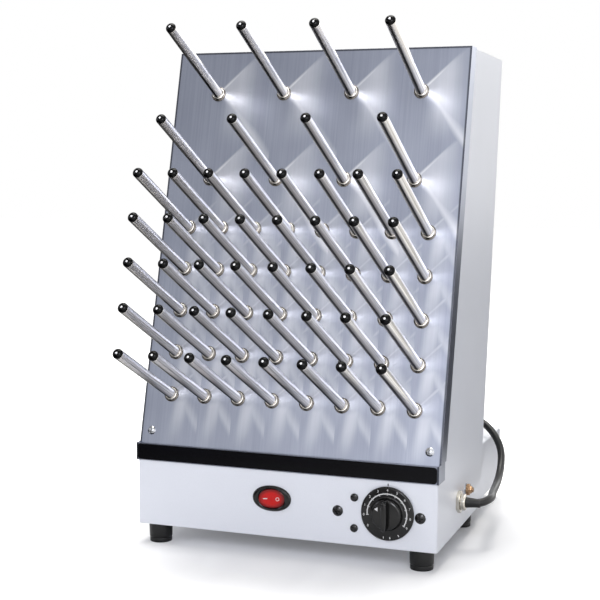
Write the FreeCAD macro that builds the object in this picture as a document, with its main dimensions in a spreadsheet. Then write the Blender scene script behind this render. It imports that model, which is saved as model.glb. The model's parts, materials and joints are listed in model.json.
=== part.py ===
"""Bench dryer for laboratory glassware.

A folded steel cabinet leans back on a low control base. Warm air from a blower in the
rear housing fills the cabinet and leaves through capped tubes that stand out of the
stainless front panel, where the glassware hangs to dry.

Frame while modelling: X to the right with 0 on the cabinet's middle plane, Y to the back
with 0 on the face of the control base, Z up with 0 on the underside of the cabinet. The
parts are written with Z 0 on the bench and the origin under the middle of the dryer.
Lengths are in millimetres and angles in degrees.
"""
import FreeCAD, Part

import math
import os

import Sketcher

Vector = FreeCAD.Vector
Placement = FreeCAD.Placement
Rotation = FreeCAD.Rotation

# Driving sizes. Each is one cell of the sheet, under the name given here.
SIZES = {
    # Cabinet
    "cabinet_width": 310.0,
    "cabinet_height": 479.3,
    "bottom_depth": 192.2,
    "base_front_height": 65.5,
    "sheet": 1.2,
    "bend_radius": 2.5,
    "flange_width": 14.0,
    "panel_slant": 14.5,
    "rear_lean": 9.14,
    # Stainless panel and drip channel
    "panel_sheet": 1.0,
    "panel_setback": 6.9,
    "panel_flange_depth": 20.0,
    "side_fit": 0.2,
    "channel_height": 17.4,
    "channel_proud": 1.2,
    "channel_end_depth": 24.0,
    "trim_thickness": 0.8,
    "trim_inset": 1.8,
    "trim_corner": 3.0,
    # Pegs
    "peg_columns": 8,
    "peg_pitch": 36.2,
    "close_row_pitch": 43.1,
    "first_row_height": 49.4,
    "close_rows": 5,
    "upper_row_gap": 52.2,
    "wide_row_pitch": 90.1,
    "peg_tilt": 11.2,
    "peg_length": 131.8,
    "peg_diameter": 10.0,
    "peg_wall": 1.0,
    "collar_diameter": 15.6,
    "collar_thickness": 1.0,
    "ring_diameter": 12.8,
    "ring_height": 2.6,
    "cap_height": 3.6,
    # Fasteners on the panel and the front
    "panel_screw_inset": 10.6,
    "panel_screw_height": 11.5,
    "panel_screw_head": 8.6,
    "small_screw_diameter": 4.0,
    "screw_head_height": 2.4,
    "screw_reach": 8.0,
    "hole_clearance": 0.25,
    "control_screw_head": 10.6,
    "control_screw_left_inset": 97.8,
    "control_screw_right_inset": 16.4,
    "control_screw_height": 32.2,
    "plug_head": 7.8,
    "plug_stem": 5.8,
    "plug_inset": 81.2,
    "plug_low": 16.7,
    "plug_high": 46.6,
    # Rocker switch
    "switch_across": -10.3,
    "switch_height": 38.1,
    "bezel_width": 39.8,
    "bezel_height": 25.3,
    "bezel_thickness": 2.2,
    "switch_body_width": 32.0,
    "switch_body_height": 23.6,
    "switch_body_depth": 21.0,
    "rocker_opening_width": 27.4,
    "rocker_opening_height": 19.8,
    "rocker_gap": 0.3,
    "rocker_pivot_depth": 3.0,
    "rocker_proud": 1.2,
    "rocker_tilt": 8.0,
    "rocker_pin": 3.0,
    "bearing_gap": 0.05,
    # Control knob and regulator
    "knob_inset": 48.0,
    "knob_height": 34.2,
    "knob_diameter": 52.0,
    "knob_skirt": 2.4,
    "knob_hub_diameter": 31.0,
    "knob_hub_height": 7.5,
    "knob_grip_width": 7.0,
    "knob_grip_height": 17.0,
    "knob_stand_off": 0.8,
    "spindle_diameter": 6.0,
    "spindle_length": 30.0,
    "regulator_width": 42.0,
    "regulator_height": 40.0,
    "regulator_depth": 26.0,
    "regulator_bush": 10.0,
    # Feet
    "foot_height": 20.0,
    "foot_diameter": 24.0,
    "foot_taper": 0.8,
    "foot_inset": 18.0,
    "foot_front": 14.8,
    "foot_rear": 179.0,
    "foot_recess": 12.0,
    "foot_screw": 5.0,
    # Cable gland and earth terminal
    "gland_back": 86.8,
    "gland_height": 29.3,
    "gland_hex": 20.0,
    "gland_flange": 3.5,
    "gland_thread": 16.0,
    "gland_nut": 5.0,
    "gland_nut_diameter": 16.6,
    "gland_seal": 4.5,
    "gland_seal_diameter": 11.5,
    "cord_diameter": 8.0,
    "earth_back": 121.0,
    "earth_height": 34.0,
    "earth_stud": 5.0,
    "earth_reach": 8.4,
    "earth_washer": 12.0,
    "earth_nut": 11.6,
    "earth_nut_length": 3.6,
    "earth_boss": 2.0,
    # Rear housing and blower
    "housing_rear_gap": 9.0,
    "housing_bottom": 2.0,
    "housing_top": 62.8,
    "housing_inset": 3.0,
    "slot_count": 16,
    "slot_width": 4.0,
    "slot_pitch": 10.0,
    "slot_height": 36.0,
    "blower_duct": 17.2,
    "blower_radius": 50.0,
    "blower_height": 36.0,
    "blower_wall": 1.5,
    "blower_floor": 14.0,
    "blower_eye": 60.0,
    "outlet_width": 46.0,
    "impeller_diameter": 84.0,
    "impeller_height": 26.0,
    "blade_count": 18,
    "blade_depth": 9.0,
    "blade_thickness": 1.2,
    "motor_diameter": 36.0,
    "motor_height": 18.0,
    "motor_shaft": 6.0,
    # Heater and wiring parts
    "heater_tube": 6.5,
    "heater_pitch": 15.0,
    "heater_runs": 3,
    "heater_half_width": 52.0,
    "heater_front": 158.0,
    "heater_bracket": 1.5,
    "bracket_depth": 24.0,
    "bracket_foot": 12.0,
    "heater_rise": 12.0,
    "small_nut_flats": 8.0,
    "small_nut_height": 4.0,
    # Coil and plug of the mains cord
    "coil_middle_radius": 44.0,
    "coil_across": 37.0,
    "coil_back": 400.0,
    "coil_columns": 2,
    "coil_layers": 2,
    "plug_length": 34.0,
    "plug_width": 36.0,
    "plug_neck_width": 20.0,
    "plug_height": 24.0,
    "plug_boot_length": 26.0,
    "plug_boot_diameter": 12.5,
    "pin_length": 17.0,
    "pin_width": 6.3,
    "pin_thickness": 1.6,
}

# The cord's route from the gland's seal to its coil, chosen by hand from the photograph:
# along the side, over the top of the rear housing and down to the bench behind it.
CORD_POINTS = [
    (168, 86.8, 29.3), (178, 86.8, 29.3), (186, 103, 32), (180, 133, 29), (176, 166, 26),
    (174, 194, 28), (173, 216, 38), (170, 233, 54), (160, 242, 69), (146, 252, 79),
    (130, 262, 81), (113, 276, 74), (99, 292, 75), (92, 313, 75), (87, 330, 66),
    (83, 342, 50), (82, 346, 32), (82, 350, 12), (83, 362, -5), (84, 380, -14.5),
    (85, 400, -16),
]


def sheet_of(document, sizes):
    """Writes the driving sizes into a sheet, one row each, with an alias a row."""
    table = document.addObject("Spreadsheet::Sheet", "dims")
    for row, (alias, value) in enumerate(sizes.items(), start=1):
        table.set(f"A{row}", alias)
        table.set(f"B{row}", str(value))
        table.setAlias(f"B{row}", alias)
    document.recompute()
    return table


doc = FreeCAD.newDocument("glassware_dryer")
dims = sheet_of(doc, SIZES)

# Places that several pieces share, as expressions on the sheet.
D = "dims."
HALF = "(dims.cabinet_width / 2)"
CHANNEL_TOP = "(dims.base_front_height + dims.channel_height)"
CABINET_TOP = "(dims.cabinet_height - dims.panel_sheet)"
COVER_DEPTH = "(dims.sheet / cos(dims.rear_lean))"
PANEL_LENGTH = f"((dims.cabinet_height - {CHANNEL_TOP}) / cos(dims.panel_slant))"
PEG_RADIUS = "(dims.peg_diameter / 2)"
TUBE_END = "(dims.peg_length - dims.cap_height)"
PANEL_SIDE = f"({HALF} + dims.side_fit + dims.panel_sheet)"
SHAFT_RADIUS = "(dims.motor_shaft / 2)"
BLOWER_MIDDLE = "(dims.bottom_depth + dims.blower_duct + dims.blower_radius)"
HOUSING_BACK = f"({BLOWER_MIDDLE} + dims.blower_radius + dims.housing_rear_gap)"
KNOB_ACROSS = f"({HALF} - dims.knob_inset)"
PLUG_ACROSS = f"({HALF} - dims.plug_inset)"
SCREWS_ACROSS = {side: f"({HALF} - dims.control_screw_{side}_inset)"
                 for side in ("left", "right")}
IMPELLER_FLOOR = "(dims.blower_floor + dims.blower_wall + 3)"


def panel_back(height):
    """Y of the back of the stainless panel, at a height."""
    return (f"(dims.panel_setback + ({height} - {CHANNEL_TOP}) * tan(dims.panel_slant)"
            f" + dims.panel_sheet / cos(dims.panel_slant))")


def rear_face(height):
    """Y of the leaning rear face of the cabinet, at a height."""
    return f"(dims.bottom_depth + ({height}) * tan(dims.rear_lean))"


def number(expression):
    """The value of an expression on the sheet."""
    value = dims.evalExpression(str(expression))
    return float(getattr(value, "Value", value))


def bind(item, **expressions):
    """Ties properties of an object to expressions. A double underscore stands for a dot."""
    for name, expression in expressions.items():
        item.setExpression(name.replace("__", "."), str(expression))
    return item


def place(item, x="0", y="0", z="0"):
    """Ties an object's position to three expressions."""
    return bind(item, Placement__Base__x=x, Placement__Base__y=y, Placement__Base__z=z)


# Part design helpers

def new_body(name):
    """An empty body that may hold several separate solids."""
    body = doc.addObject("PartDesign::Body", name)
    body.AllowCompound = True
    return body


def origin_item(body, role):
    """One of the planes or axes of a body's own origin."""
    return next(item for item in body.Origin.OriginFeatures if item.Role == role)


def sketch_on(body, plane, name, offset=None):
    """An empty sketch on one of the body's origin planes, or moved off it by an offset."""
    sketch = body.newObject("Sketcher::SketchObject", name)
    sketch.AttachmentSupport = [(origin_item(body, plane), "")]
    sketch.MapMode = "FlatFace"
    if offset is not None:
        bind(sketch, AttachmentOffset__Base__z=offset)
    return sketch


def tie_point(sketch, curve, end, x, y):
    """Holds a point of a sketch by its two distances from the sketch's origin."""
    for kind, expression in (("DistanceX", x), ("DistanceY", y)):
        made = Sketcher.Constraint(kind, -1, 1, curve, end, number(expression))
        index = sketch.addConstraint(made)
        sketch.setExpression(f"Constraints[{index}]", str(expression))


def outline(sketch, corners, arcs=None):
    """A closed outline through corners. An arc (middle x, middle y, radius) may leave a corner."""
    arcs = arcs or {}
    points = [Vector(number(x), number(y), 0) for x, y in corners]
    first = sketch.GeometryCount
    count = len(points)
    for index, point in enumerate(points):
        following = points[(index + 1) % count]
        if index in arcs:
            middle = Vector(number(arcs[index][0]), number(arcs[index][1]), 0)
            sketch.addGeometry(Part.Arc(point, middle, following), False)
        else:
            sketch.addGeometry(Part.LineSegment(point, following), False)
    ends = []
    for index, point in enumerate(points):
        starts_here = sketch.getPoint(first + index, 1).distanceToPoint(point) < 1e-6
        ends.append((1, 2) if starts_here else (2, 1))
    for index, (x, y) in enumerate(corners):
        following = (index + 1) % count
        sketch.addConstraint(Sketcher.Constraint(
            "Coincident", first + index, ends[index][1], first + following, ends[following][0]))
    for index, (x, y) in enumerate(corners):
        tie_point(sketch, first + index, ends[index][0], x, y)
    for index, (_, _, radius) in arcs.items():
        made = sketch.addConstraint(Sketcher.Constraint("Radius", first + index, number(radius)))
        sketch.setExpression(f"Constraints[{made}]", str(radius))


def rectangle(sketch, low, high):
    """A rectangle between two opposite corners."""
    (x0, y0), (x1, y1) = low, high
    outline(sketch, [(x0, y0), (x1, y0), (x1, y1), (x0, y1)])


def round_ended(sketch, width, height, x="0", y="0"):
    """A closed outline with two level sides and half round ends, about a middle."""
    radius = f"({height} / 2)"
    flat = f"(({width} - {height}) / 2)"
    lean_x = f"({flat} + {radius} * cos(45))"
    lean_y = f"({radius} * sin(45))"
    outline(sketch, [
        (f"{x} - {flat}", f"{y} - {radius}"), (f"{x} + {flat}", f"{y} - {radius}"),
        (f"{x} + {width} / 2", y), (f"{x} + {flat}", f"{y} + {radius}"),
        (f"{x} - {flat}", f"{y} + {radius}"), (f"{x} - {width} / 2", y),
    ], arcs={1: (f"{x} + {lean_x}", f"{y} - {lean_y}", radius),
             2: (f"{x} + {lean_x}", f"{y} + {lean_y}", radius),
             4: (f"{x} - {lean_x}", f"{y} + {lean_y}", radius),
             5: (f"{x} - {lean_x}", f"{y} - {lean_y}", radius)})


def circle(sketch, x, y, radius):
    """A circle whose centre and radius are bound."""
    middle = Vector(number(x), number(y), 0)
    curve = sketch.addGeometry(Part.Circle(middle, Vector(0, 0, 1), number(radius)), False)
    tie_point(sketch, curve, 3, x, y)
    made = sketch.addConstraint(Sketcher.Constraint("Radius", curve, number(radius)))
    sketch.setExpression(f"Constraints[{made}]", str(radius))


def feature(body, kind, name, sketch, length, middle=False, back=False):
    """A pad or pocket of a sketch, along its normal, back, or to both sides."""
    item = body.newObject(f"PartDesign::{kind}", name)
    item.Profile = sketch
    bind(item, Length=length)
    item.Midplane = middle
    item.Reversed = back
    body.Tip = item
    return item


def pad(body, name, sketch, length, **how):
    """Adds material over a sketch."""
    return feature(body, "Pad", name, sketch, length, **how)


def pocket(body, name, sketch, length, **how):
    """Removes material under a sketch, and checks that there was some."""
    doc.recompute()
    before = body.Shape.Volume
    item = feature(body, "Pocket", name, sketch, length, **how)
    doc.recompute()
    if not body.Shape.Volume < before:
        raise RuntimeError(f"{body.Name}.{name} cuts nothing")
    return item


def revolve(body, name, sketch, axis, kind="Revolution"):
    """Turns a sketch a full circle about one of its axes, to add material or to cut it."""
    item = body.newObject(f"PartDesign::{kind}", name)
    item.Profile = sketch
    item.ReferenceAxis = (sketch, [axis])
    item.Angle = 360
    body.Tip = item
    return item


def repeat(body, name, sources, axis, length, count):
    """Repeats features in a straight row along one of the body's axes."""
    item = body.newObject("PartDesign::LinearPattern", name)
    item.Originals = sources
    item.Direction = (origin_item(body, axis), [""])
    bind(item, Length=length, Occurrences=count)
    body.Tip = item
    return item


def fillet(body, name, radius, wanted):
    """Rounds the edges that a test picks out."""
    doc.recompute()
    edges = [f"Edge{number_}" for number_, edge in enumerate(body.Shape.Edges, start=1)
             if wanted(edge)]
    base = body.Tip
    item = body.newObject("PartDesign::Fillet", name)
    item.Base = (base, edges)
    bind(item, Radius=radius)
    body.Tip = item
    return item


def straight(edge):
    """The unit direction of a straight edge, or nothing."""
    if not isinstance(edge.Curve, Part.Line):
        return None
    return edge.Curve.Direction


def turn_to_panel(body):
    """Sets a body on the front panel: its X across, its Y up the slope, its Z out of it."""
    body.Placement = Placement(Vector(0, 0, 0), Rotation(Vector(1, 0, 0), 45))
    bind(body, Placement__Rotation__Angle="90 - dims.panel_slant")
    return place(body, y="dims.panel_setback", z=CHANNEL_TOP)


# Part primitives, for turned and plain pieces

TURNS = {"x": (Vector(0, 1, 0), 90), "y": (Vector(1, 0, 0), -90), "z": (Vector(0, 0, 1), 0)}


def rod(name, axis, radius, length, x="0", y="0", z="0"):
    """A cylinder that starts at a point and runs along an axis."""
    item = doc.addObject("Part::Cylinder", name)
    turn_axis, angle = TURNS[axis]
    item.Placement = Placement(Vector(0, 0, 0), Rotation(turn_axis, angle))
    bind(item, Radius=radius, Height=length)
    return place(item, x, y, z)


def block(name, size, x="0", y="0", z="0"):
    """A box with its lowest corner at a point."""
    item = doc.addObject("Part::Box", name)
    bind(item, Length=size[0], Width=size[1], Height=size[2])
    return place(item, x, y, z)


def hexagon(name, axis, across_flats, length, x="0", y="0", z="0"):
    """A hexagonal prism that starts at a point and runs along an axis."""
    item = doc.addObject("Part::Prism", name)
    item.Polygon = 6
    turn_axis, angle = TURNS[axis]
    item.Placement = Placement(Vector(0, 0, 0), Rotation(turn_axis, angle))
    bind(item, Circumradius=f"{across_flats} / 2 / cos(30)", Height=length)
    return place(item, x, y, z)


def panel_rod(name, radius, length, across, up, out):
    """A cylinder square to the front panel: so far across, up and out of its face."""
    item = doc.addObject("Part::Cylinder", name)
    item.Placement = Placement(Vector(0, 0, 0), Rotation(Vector(1, 0, 0), 45))
    bind(item, Radius=radius, Height=length, Placement__Rotation__Angle="90 - dims.panel_slant")
    slant = "dims.panel_slant"
    return place(item, across,
                 f"dims.panel_setback + ({up}) * sin({slant}) - ({out}) * cos({slant})",
                 f"{CHANNEL_TOP} + ({up}) * cos({slant}) + ({out}) * sin({slant})")


def joined(name, pieces):
    """One solid of several pieces."""
    item = doc.addObject("Part::MultiFuse", name)
    item.Shapes = pieces
    item.Refine = True
    return item


def cut(name, base, tool):
    """A piece less a tool."""
    item = doc.addObject("Part::Cut", name)
    item.Base = base
    item.Tool = tool
    return item


def group(name, pieces):
    """Separate solids that share one node."""
    item = doc.addObject("Part::Compound", name)
    item.Links = pieces
    return item


PARTS = {}


def keep(node, item):
    """Names a finished sub-part, which names its file."""
    item.Label = node
    PARTS[node] = item
    return item


# Cabinet: one folded and welded shell of white painted steel

def cabinet_shell():
    """Sides, top, control front and the flanges round its openings."""
    body = new_body("shell_body")
    sheet = "dims.sheet"
    flange = "dims.flange_width"
    shelf = "dims.base_front_height"
    profile = sketch_on(body, "YZ_Plane", "shell_profile")
    outline(profile, [
        ("0", "0"),
        ("0", shelf),
        (panel_back(shelf), shelf),
        (panel_back(CABINET_TOP), CABINET_TOP),
        (rear_face(CABINET_TOP), CABINET_TOP),
        (rear_face("0"), "0"),
    ])
    pad(body, "shell_block", profile, "dims.cabinet_width", middle=True)
    half = number(HALF)
    top = number(CABINET_TOP)

    def outer_bend(edge):
        """Picks the fold at the back of the top and the upright folds of the control front."""
        direction = straight(edge)
        if direction is None:
            return False
        middle = edge.valueAt((edge.FirstParameter + edge.LastParameter) / 2)
        at_side = abs(abs(middle.x) - half) < 0.01
        if abs(direction.z) > 0.99 and at_side:
            return middle.y < 1
        return abs(direction.x) > 0.99 and middle.z > top - 1 and middle.y > half

    fillet(body, "shell_bends", "dims.bend_radius", outer_bend)
    inner_slant = f"(dims.sheet / cos(dims.panel_slant))"
    ceiling = f"({CABINET_TOP} - dims.sheet)"
    cavity = sketch_on(body, "YZ_Plane", "shell_cavity")
    outline(cavity, [
        (sheet, sheet),
        (sheet, f"{shelf} - {sheet}"),
        (f"{panel_back(f'({shelf} - {sheet})')} + {inner_slant}", f"{shelf} - {sheet}"),
        (f"{panel_back(ceiling)} + {inner_slant}", ceiling),
        (f"{rear_face(ceiling)} - {COVER_DEPTH}", ceiling),
        (f"{rear_face(sheet)} - {COVER_DEPTH}", sheet),
    ])
    pocket(body, "shell_inside", cavity, f"dims.cabinet_width - 2 * {sheet}", middle=True)
    inside_width = f"dims.cabinet_width - 2 * {flange}"
    front_low = f"({shelf} + {flange})"
    front_high = f"({CABINET_TOP} - {flange})"
    front_open = sketch_on(body, "YZ_Plane", "front_opening")
    outline(front_open, [
        (f"{panel_back(front_low)} - 2", front_low),
        (f"{panel_back(front_high)} - 2", front_high),
        (f"{panel_back(front_high)} + 2 * {inner_slant}", front_high),
        (f"{panel_back(front_low)} + 2 * {inner_slant}", front_low),
    ])
    pocket(body, "panel_opening", front_open, inside_width, middle=True)
    rear_low = flange
    rear_open = sketch_on(body, "YZ_Plane", "rear_opening")
    outline(rear_open, [
        (f"{rear_face(rear_low)} - 2 * {COVER_DEPTH}", rear_low),
        (f"{rear_face(front_high)} - 2 * {COVER_DEPTH}", front_high),
        (f"{rear_face(front_high)} + 2", front_high),
        (f"{rear_face(rear_low)} + 2", rear_low),
    ])
    pocket(body, "cover_opening", rear_open, inside_width, middle=True)
    floor_open = sketch_on(body, "YZ_Plane", "floor_opening")
    clear = "(dims.foot_front + dims.foot_diameter / 2 + 3)"
    rectangle(floor_open, (clear, "-1"),
              (f"dims.foot_rear - dims.foot_diameter / 2 - 3", f"2 * {sheet}"))
    pocket(body, "floor_opening_cut", floor_open, inside_width, middle=True)
    # Holes of the control front, cut from its face inwards
    front = sketch_on(body, "XZ_Plane", "front_holes", offset="1")
    round_ended(front, "(dims.switch_body_width + 2 * dims.hole_clearance)",
                "(dims.switch_body_height + 2 * dims.hole_clearance)",
                "dims.switch_across", "dims.switch_height")
    circle(front, KNOB_ACROSS, "dims.knob_height",
           "dims.regulator_bush / 2 + dims.hole_clearance")
    for across in SCREWS_ACROSS.values():
        circle(front, across, "dims.control_screw_height",
               "dims.small_screw_diameter / 2 + dims.hole_clearance")
    for height in ("dims.plug_low", "dims.plug_high"):
        circle(front, PLUG_ACROSS, height, "dims.plug_stem / 2 + dims.hole_clearance")
    pocket(body, "front_hole_cut", front, "dims.sheet + 2")
    # Holes of the right side, for the gland and the earth stud
    side = sketch_on(body, "YZ_Plane", "side_holes", offset=f"{HALF} - dims.sheet - 1")
    circle(side, "dims.gland_back", "dims.gland_height",
           "dims.gland_thread / 2 + dims.hole_clearance")
    circle(side, "dims.earth_back", "dims.earth_height",
           "dims.earth_stud / 2 + dims.hole_clearance")
    pocket(body, "side_hole_cut", side, "dims.sheet + 3", back=True)
    # Holes of the floor, for the screws of the feet
    floor = sketch_on(body, "XY_Plane", "floor_holes", offset="-1")
    for side_sign in ("-", ""):
        for back in ("dims.foot_front", "dims.foot_rear"):
            circle(floor, f"{side_sign}({HALF} - dims.foot_inset)", back,
                   "dims.foot_screw / 2 + dims.hole_clearance")
    pocket(body, "floor_hole_cut", floor, "dims.sheet + 2", back=True)
    drills = [panel_rod(f"panel_drill_{name}", "dims.small_screw_diameter / 2 + dims.hole_clearance",
                        "12", f"{sign}({HALF} - dims.panel_screw_inset)",
                        "dims.panel_screw_height", "-10")
              for name, sign in (("left", "-"), ("right", ""))]
    return keep("cabinet_shell", cut("shell_drilled", body, group("panel_drills", drills)))


def bottom_plate():
    """The loose floor, which lies on the shell's lower flanges."""
    body = new_body("floor_body")
    profile = sketch_on(body, "YZ_Plane", "floor_profile")
    gap = "dims.hole_clearance"
    rectangle(profile, (f"dims.sheet + {gap}", "dims.sheet"),
              (f"{rear_face('dims.sheet')} - {COVER_DEPTH} - {gap}", "2 * dims.sheet"))
    pad(body, "floor_sheet", profile,
        f"dims.cabinet_width - 2 * dims.sheet - 2 * {gap}", middle=True)
    holes = sketch_on(body, "XY_Plane", "floor_plate_holes")
    for side_sign in ("-", ""):
        for back in ("dims.foot_front", "dims.foot_rear"):
            circle(holes, f"{side_sign}({HALF} - dims.foot_inset)", back,
                   "dims.foot_screw / 2 + dims.hole_clearance")
    pocket(body, "floor_plate_cut", holes, "3 * dims.sheet", back=True)
    return keep("bottom_plate", body)


def rear_cover():
    """The flat sheet that closes the leaning back, open to the housing for its air."""
    body = new_body("cover_body")
    low = "(dims.bend_radius + 2)"
    high = f"({CABINET_TOP} - dims.bend_radius - 4)"
    profile = sketch_on(body, "YZ_Plane", "cover_profile")
    outline(profile, [
        (rear_face(low), low),
        (rear_face(high), high),
        (f"{rear_face(high)} + {COVER_DEPTH}", high),
        (f"{rear_face(low)} + {COVER_DEPTH}", low),
    ])
    pad(body, "cover_sheet", profile, "dims.cabinet_width - 2 * dims.bend_radius - 2",
        middle=True)
    opening = sketch_on(body, "XZ_Plane", "cover_opening")
    rectangle(opening,
              ("-dims.outlet_width", "dims.blower_floor + dims.blower_wall"),
              ("0", "dims.blower_floor + dims.blower_height - dims.blower_wall"))
    pocket(body, "cover_air_hole", opening, HOUSING_BACK)
    return keep("rear_cover", body)


def rear_housing():
    """The low box behind the cabinet, with upright intake slots in its back."""
    body = new_body("housing_body")
    low = "dims.housing_bottom"
    high = "dims.housing_top"
    back = HOUSING_BACK
    sheet = "dims.sheet"
    profile = sketch_on(body, "YZ_Plane", "housing_profile")
    floor = f"max({low}; dims.bend_radius + 2)"
    outline(profile, [
        (f"{rear_face(low)} + {COVER_DEPTH}", low),
        (back, low),
        (back, high),
        (f"{rear_face(high)} + {COVER_DEPTH}", high),
    ])
    pad(body, "housing_block", profile, "dims.cabinet_width - 2 * dims.housing_inset",
        middle=True)
    rear = number(back)
    side = number("dims.cabinet_width / 2 - dims.housing_inset")
    top = number(high)

    def outer_bend(edge):
        """Picks the folds round the back and along the top."""
        direction = straight(edge)
        if direction is None:
            return False
        middle = edge.valueAt((edge.FirstParameter + edge.LastParameter) / 2)
        at_side = abs(abs(middle.x) - side) < 0.01
        at_back = abs(middle.y - rear) < 0.01
        at_top = abs(middle.z - top) < 0.01
        return (at_side and at_back) or (at_top and at_back) or (at_top and at_side)

    fillet(body, "housing_bends", "dims.bend_radius", outer_bend)
    cavity = sketch_on(body, "YZ_Plane", "housing_cavity")
    inner_low = f"({low} + {sheet})"
    inner_high = f"({high} - {sheet})"
    outline(cavity, [
        (f"{rear_face(inner_low)} + {COVER_DEPTH} - 2", inner_low),
        (f"{back} - {sheet}", inner_low),
        (f"{back} - {sheet}", inner_high),
        (f"{rear_face(inner_high)} + {COVER_DEPTH} - 2", inner_high),
    ])
    pocket(body, "housing_inside", cavity,
           f"dims.cabinet_width - 2 * dims.housing_inset - 2 * {sheet}", middle=True)
    slot = sketch_on(body, "YZ_Plane", "slot_profile",
                     offset="-dims.slot_pitch * (dims.slot_count - 1) / 2")
    middle_height = f"(({low} + {high}) / 2)"
    rectangle(slot, (f"{back} - {sheet} - 1", f"{middle_height} - dims.slot_height / 2"),
              (f"{back} + 1", f"{middle_height} + dims.slot_height / 2"))
    first = pocket(body, "slot", slot, "dims.slot_width", middle=True)
    repeat(body, "slots", [first], "X_Axis", "dims.slot_pitch * (dims.slot_count - 1)",
           "dims.slot_count")
    return keep("rear_housing", body)


# Stainless front: the panel, its pegs and the drip channel

def row_heights():
    """Distance of each row of pegs up the panel, and whether the row is a wide one."""
    rows = []
    for index in range(int(SIZES["close_rows"])):
        rows.append((f"(dims.first_row_height + {index} * dims.close_row_pitch)", False))
    last = "(dims.first_row_height + (dims.close_rows - 1) * dims.close_row_pitch)"
    rows.append((f"({last} + dims.upper_row_gap)", True))
    rows.append((f"({last} + dims.upper_row_gap + dims.wide_row_pitch)", True))
    return list(reversed(rows))


def row_places(wide):
    """First peg, span and number of pegs of a row."""
    first = "(-dims.peg_pitch * (dims.peg_columns - 1) / 2)"
    if wide:
        return (f"({first} + dims.peg_pitch / 2)", "(dims.peg_pitch * (dims.peg_columns - 2))",
                "(dims.peg_columns / 2)")
    return first, "(dims.peg_pitch * (dims.peg_columns - 1))", "dims.peg_columns"


def along_peg(row, distance, radius):
    """A point of a peg's section: so far along its tilted axis, so far off it."""
    return (f"{row} + ({distance}) * sin(dims.peg_tilt) + ({radius}) * cos(dims.peg_tilt)",
            f"({distance}) * cos(dims.peg_tilt) - ({radius}) * sin(dims.peg_tilt)")


def peg_axis(sketch, row):
    """The tilted line that a peg is turned about."""
    start = along_peg(row, "0", "0")
    end = along_peg(row, "dims.peg_length", "0")
    line = Part.LineSegment(Vector(number(start[0]), number(start[1]), 0),
                            Vector(number(end[0]), number(end[1]), 0))
    curve = sketch.addGeometry(line, True)
    tie_point(sketch, curve, 1, *start)
    tie_point(sketch, curve, 2, *end)


def peg_panel():
    """The folded stainless sheet, pierced once behind each peg."""
    body = turn_to_panel(new_body("panel_body"))
    sheet = "dims.panel_sheet"
    depth = "dims.panel_flange_depth"
    slant = "dims.panel_slant"
    length = PANEL_LENGTH
    profile = sketch_on(body, "YZ_Plane", "panel_profile")
    outline(profile, [
        ("0", "0"),
        (length, "0"),
        (f"{length} + {depth} * tan({slant})", f"-{depth}"),
        (f"{depth} * tan({slant})", f"-{depth}"),
    ])
    pad(body, "panel_block", profile, f"2 * {PANEL_SIDE}", middle=True)
    inner = sketch_on(body, "YZ_Plane", "panel_inside")
    top_run = f"({sheet} * (1 - sin({slant})) / cos({slant}))"
    back_run = f"(({depth} + 1 - {sheet} * sin({slant})) / cos({slant}))"
    outline(inner, [
        ("-2 * " + depth, f"-{sheet}"),
        (f"{length} - {sheet} * cos({slant}) + {top_run} * sin({slant})", f"-{sheet}"),
        (f"{length} - {sheet} * cos({slant}) + {back_run} * sin({slant})", f"-{depth} - 1"),
        ("-2 * " + depth, f"-{depth} - 1"),
    ])
    pocket(body, "panel_hollow", inner, f"2 * ({HALF} + dims.side_fit)", middle=True)
    tongue = sketch_on(body, "YZ_Plane", "panel_tongue")
    reach = f"((dims.channel_height - dims.sheet - dims.side_fit) / cos({slant}))"
    rectangle(tongue, (f"-{reach} + {sheet} * tan({slant})", f"-{sheet}"), ("0.5", "0"))
    pad(body, "panel_foot", tongue, f"dims.cabinet_width - 2 * dims.side_fit", middle=True)
    holes = sketch_on(body, "XY_Plane", "peg_holes", offset="1")
    bore = f"({PEG_RADIUS} - dims.peg_wall)"
    for row, wide in row_heights():
        first, span, count = row_places(wide)
        total = int(round(number(count)))
        for index in range(total):
            circle(holes, f"{first} + {span} * {index} / ({count} - 1)", row, bore)
    for side_sign in ("-", ""):
        circle(holes, f"{side_sign}({HALF} - dims.panel_screw_inset)",
               "dims.panel_screw_height", "dims.small_screw_diameter / 2 + dims.hole_clearance")
    pocket(body, "panel_piercing", holes, f"1 + 2 * {sheet}")
    return keep("peg_panel", body)


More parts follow.
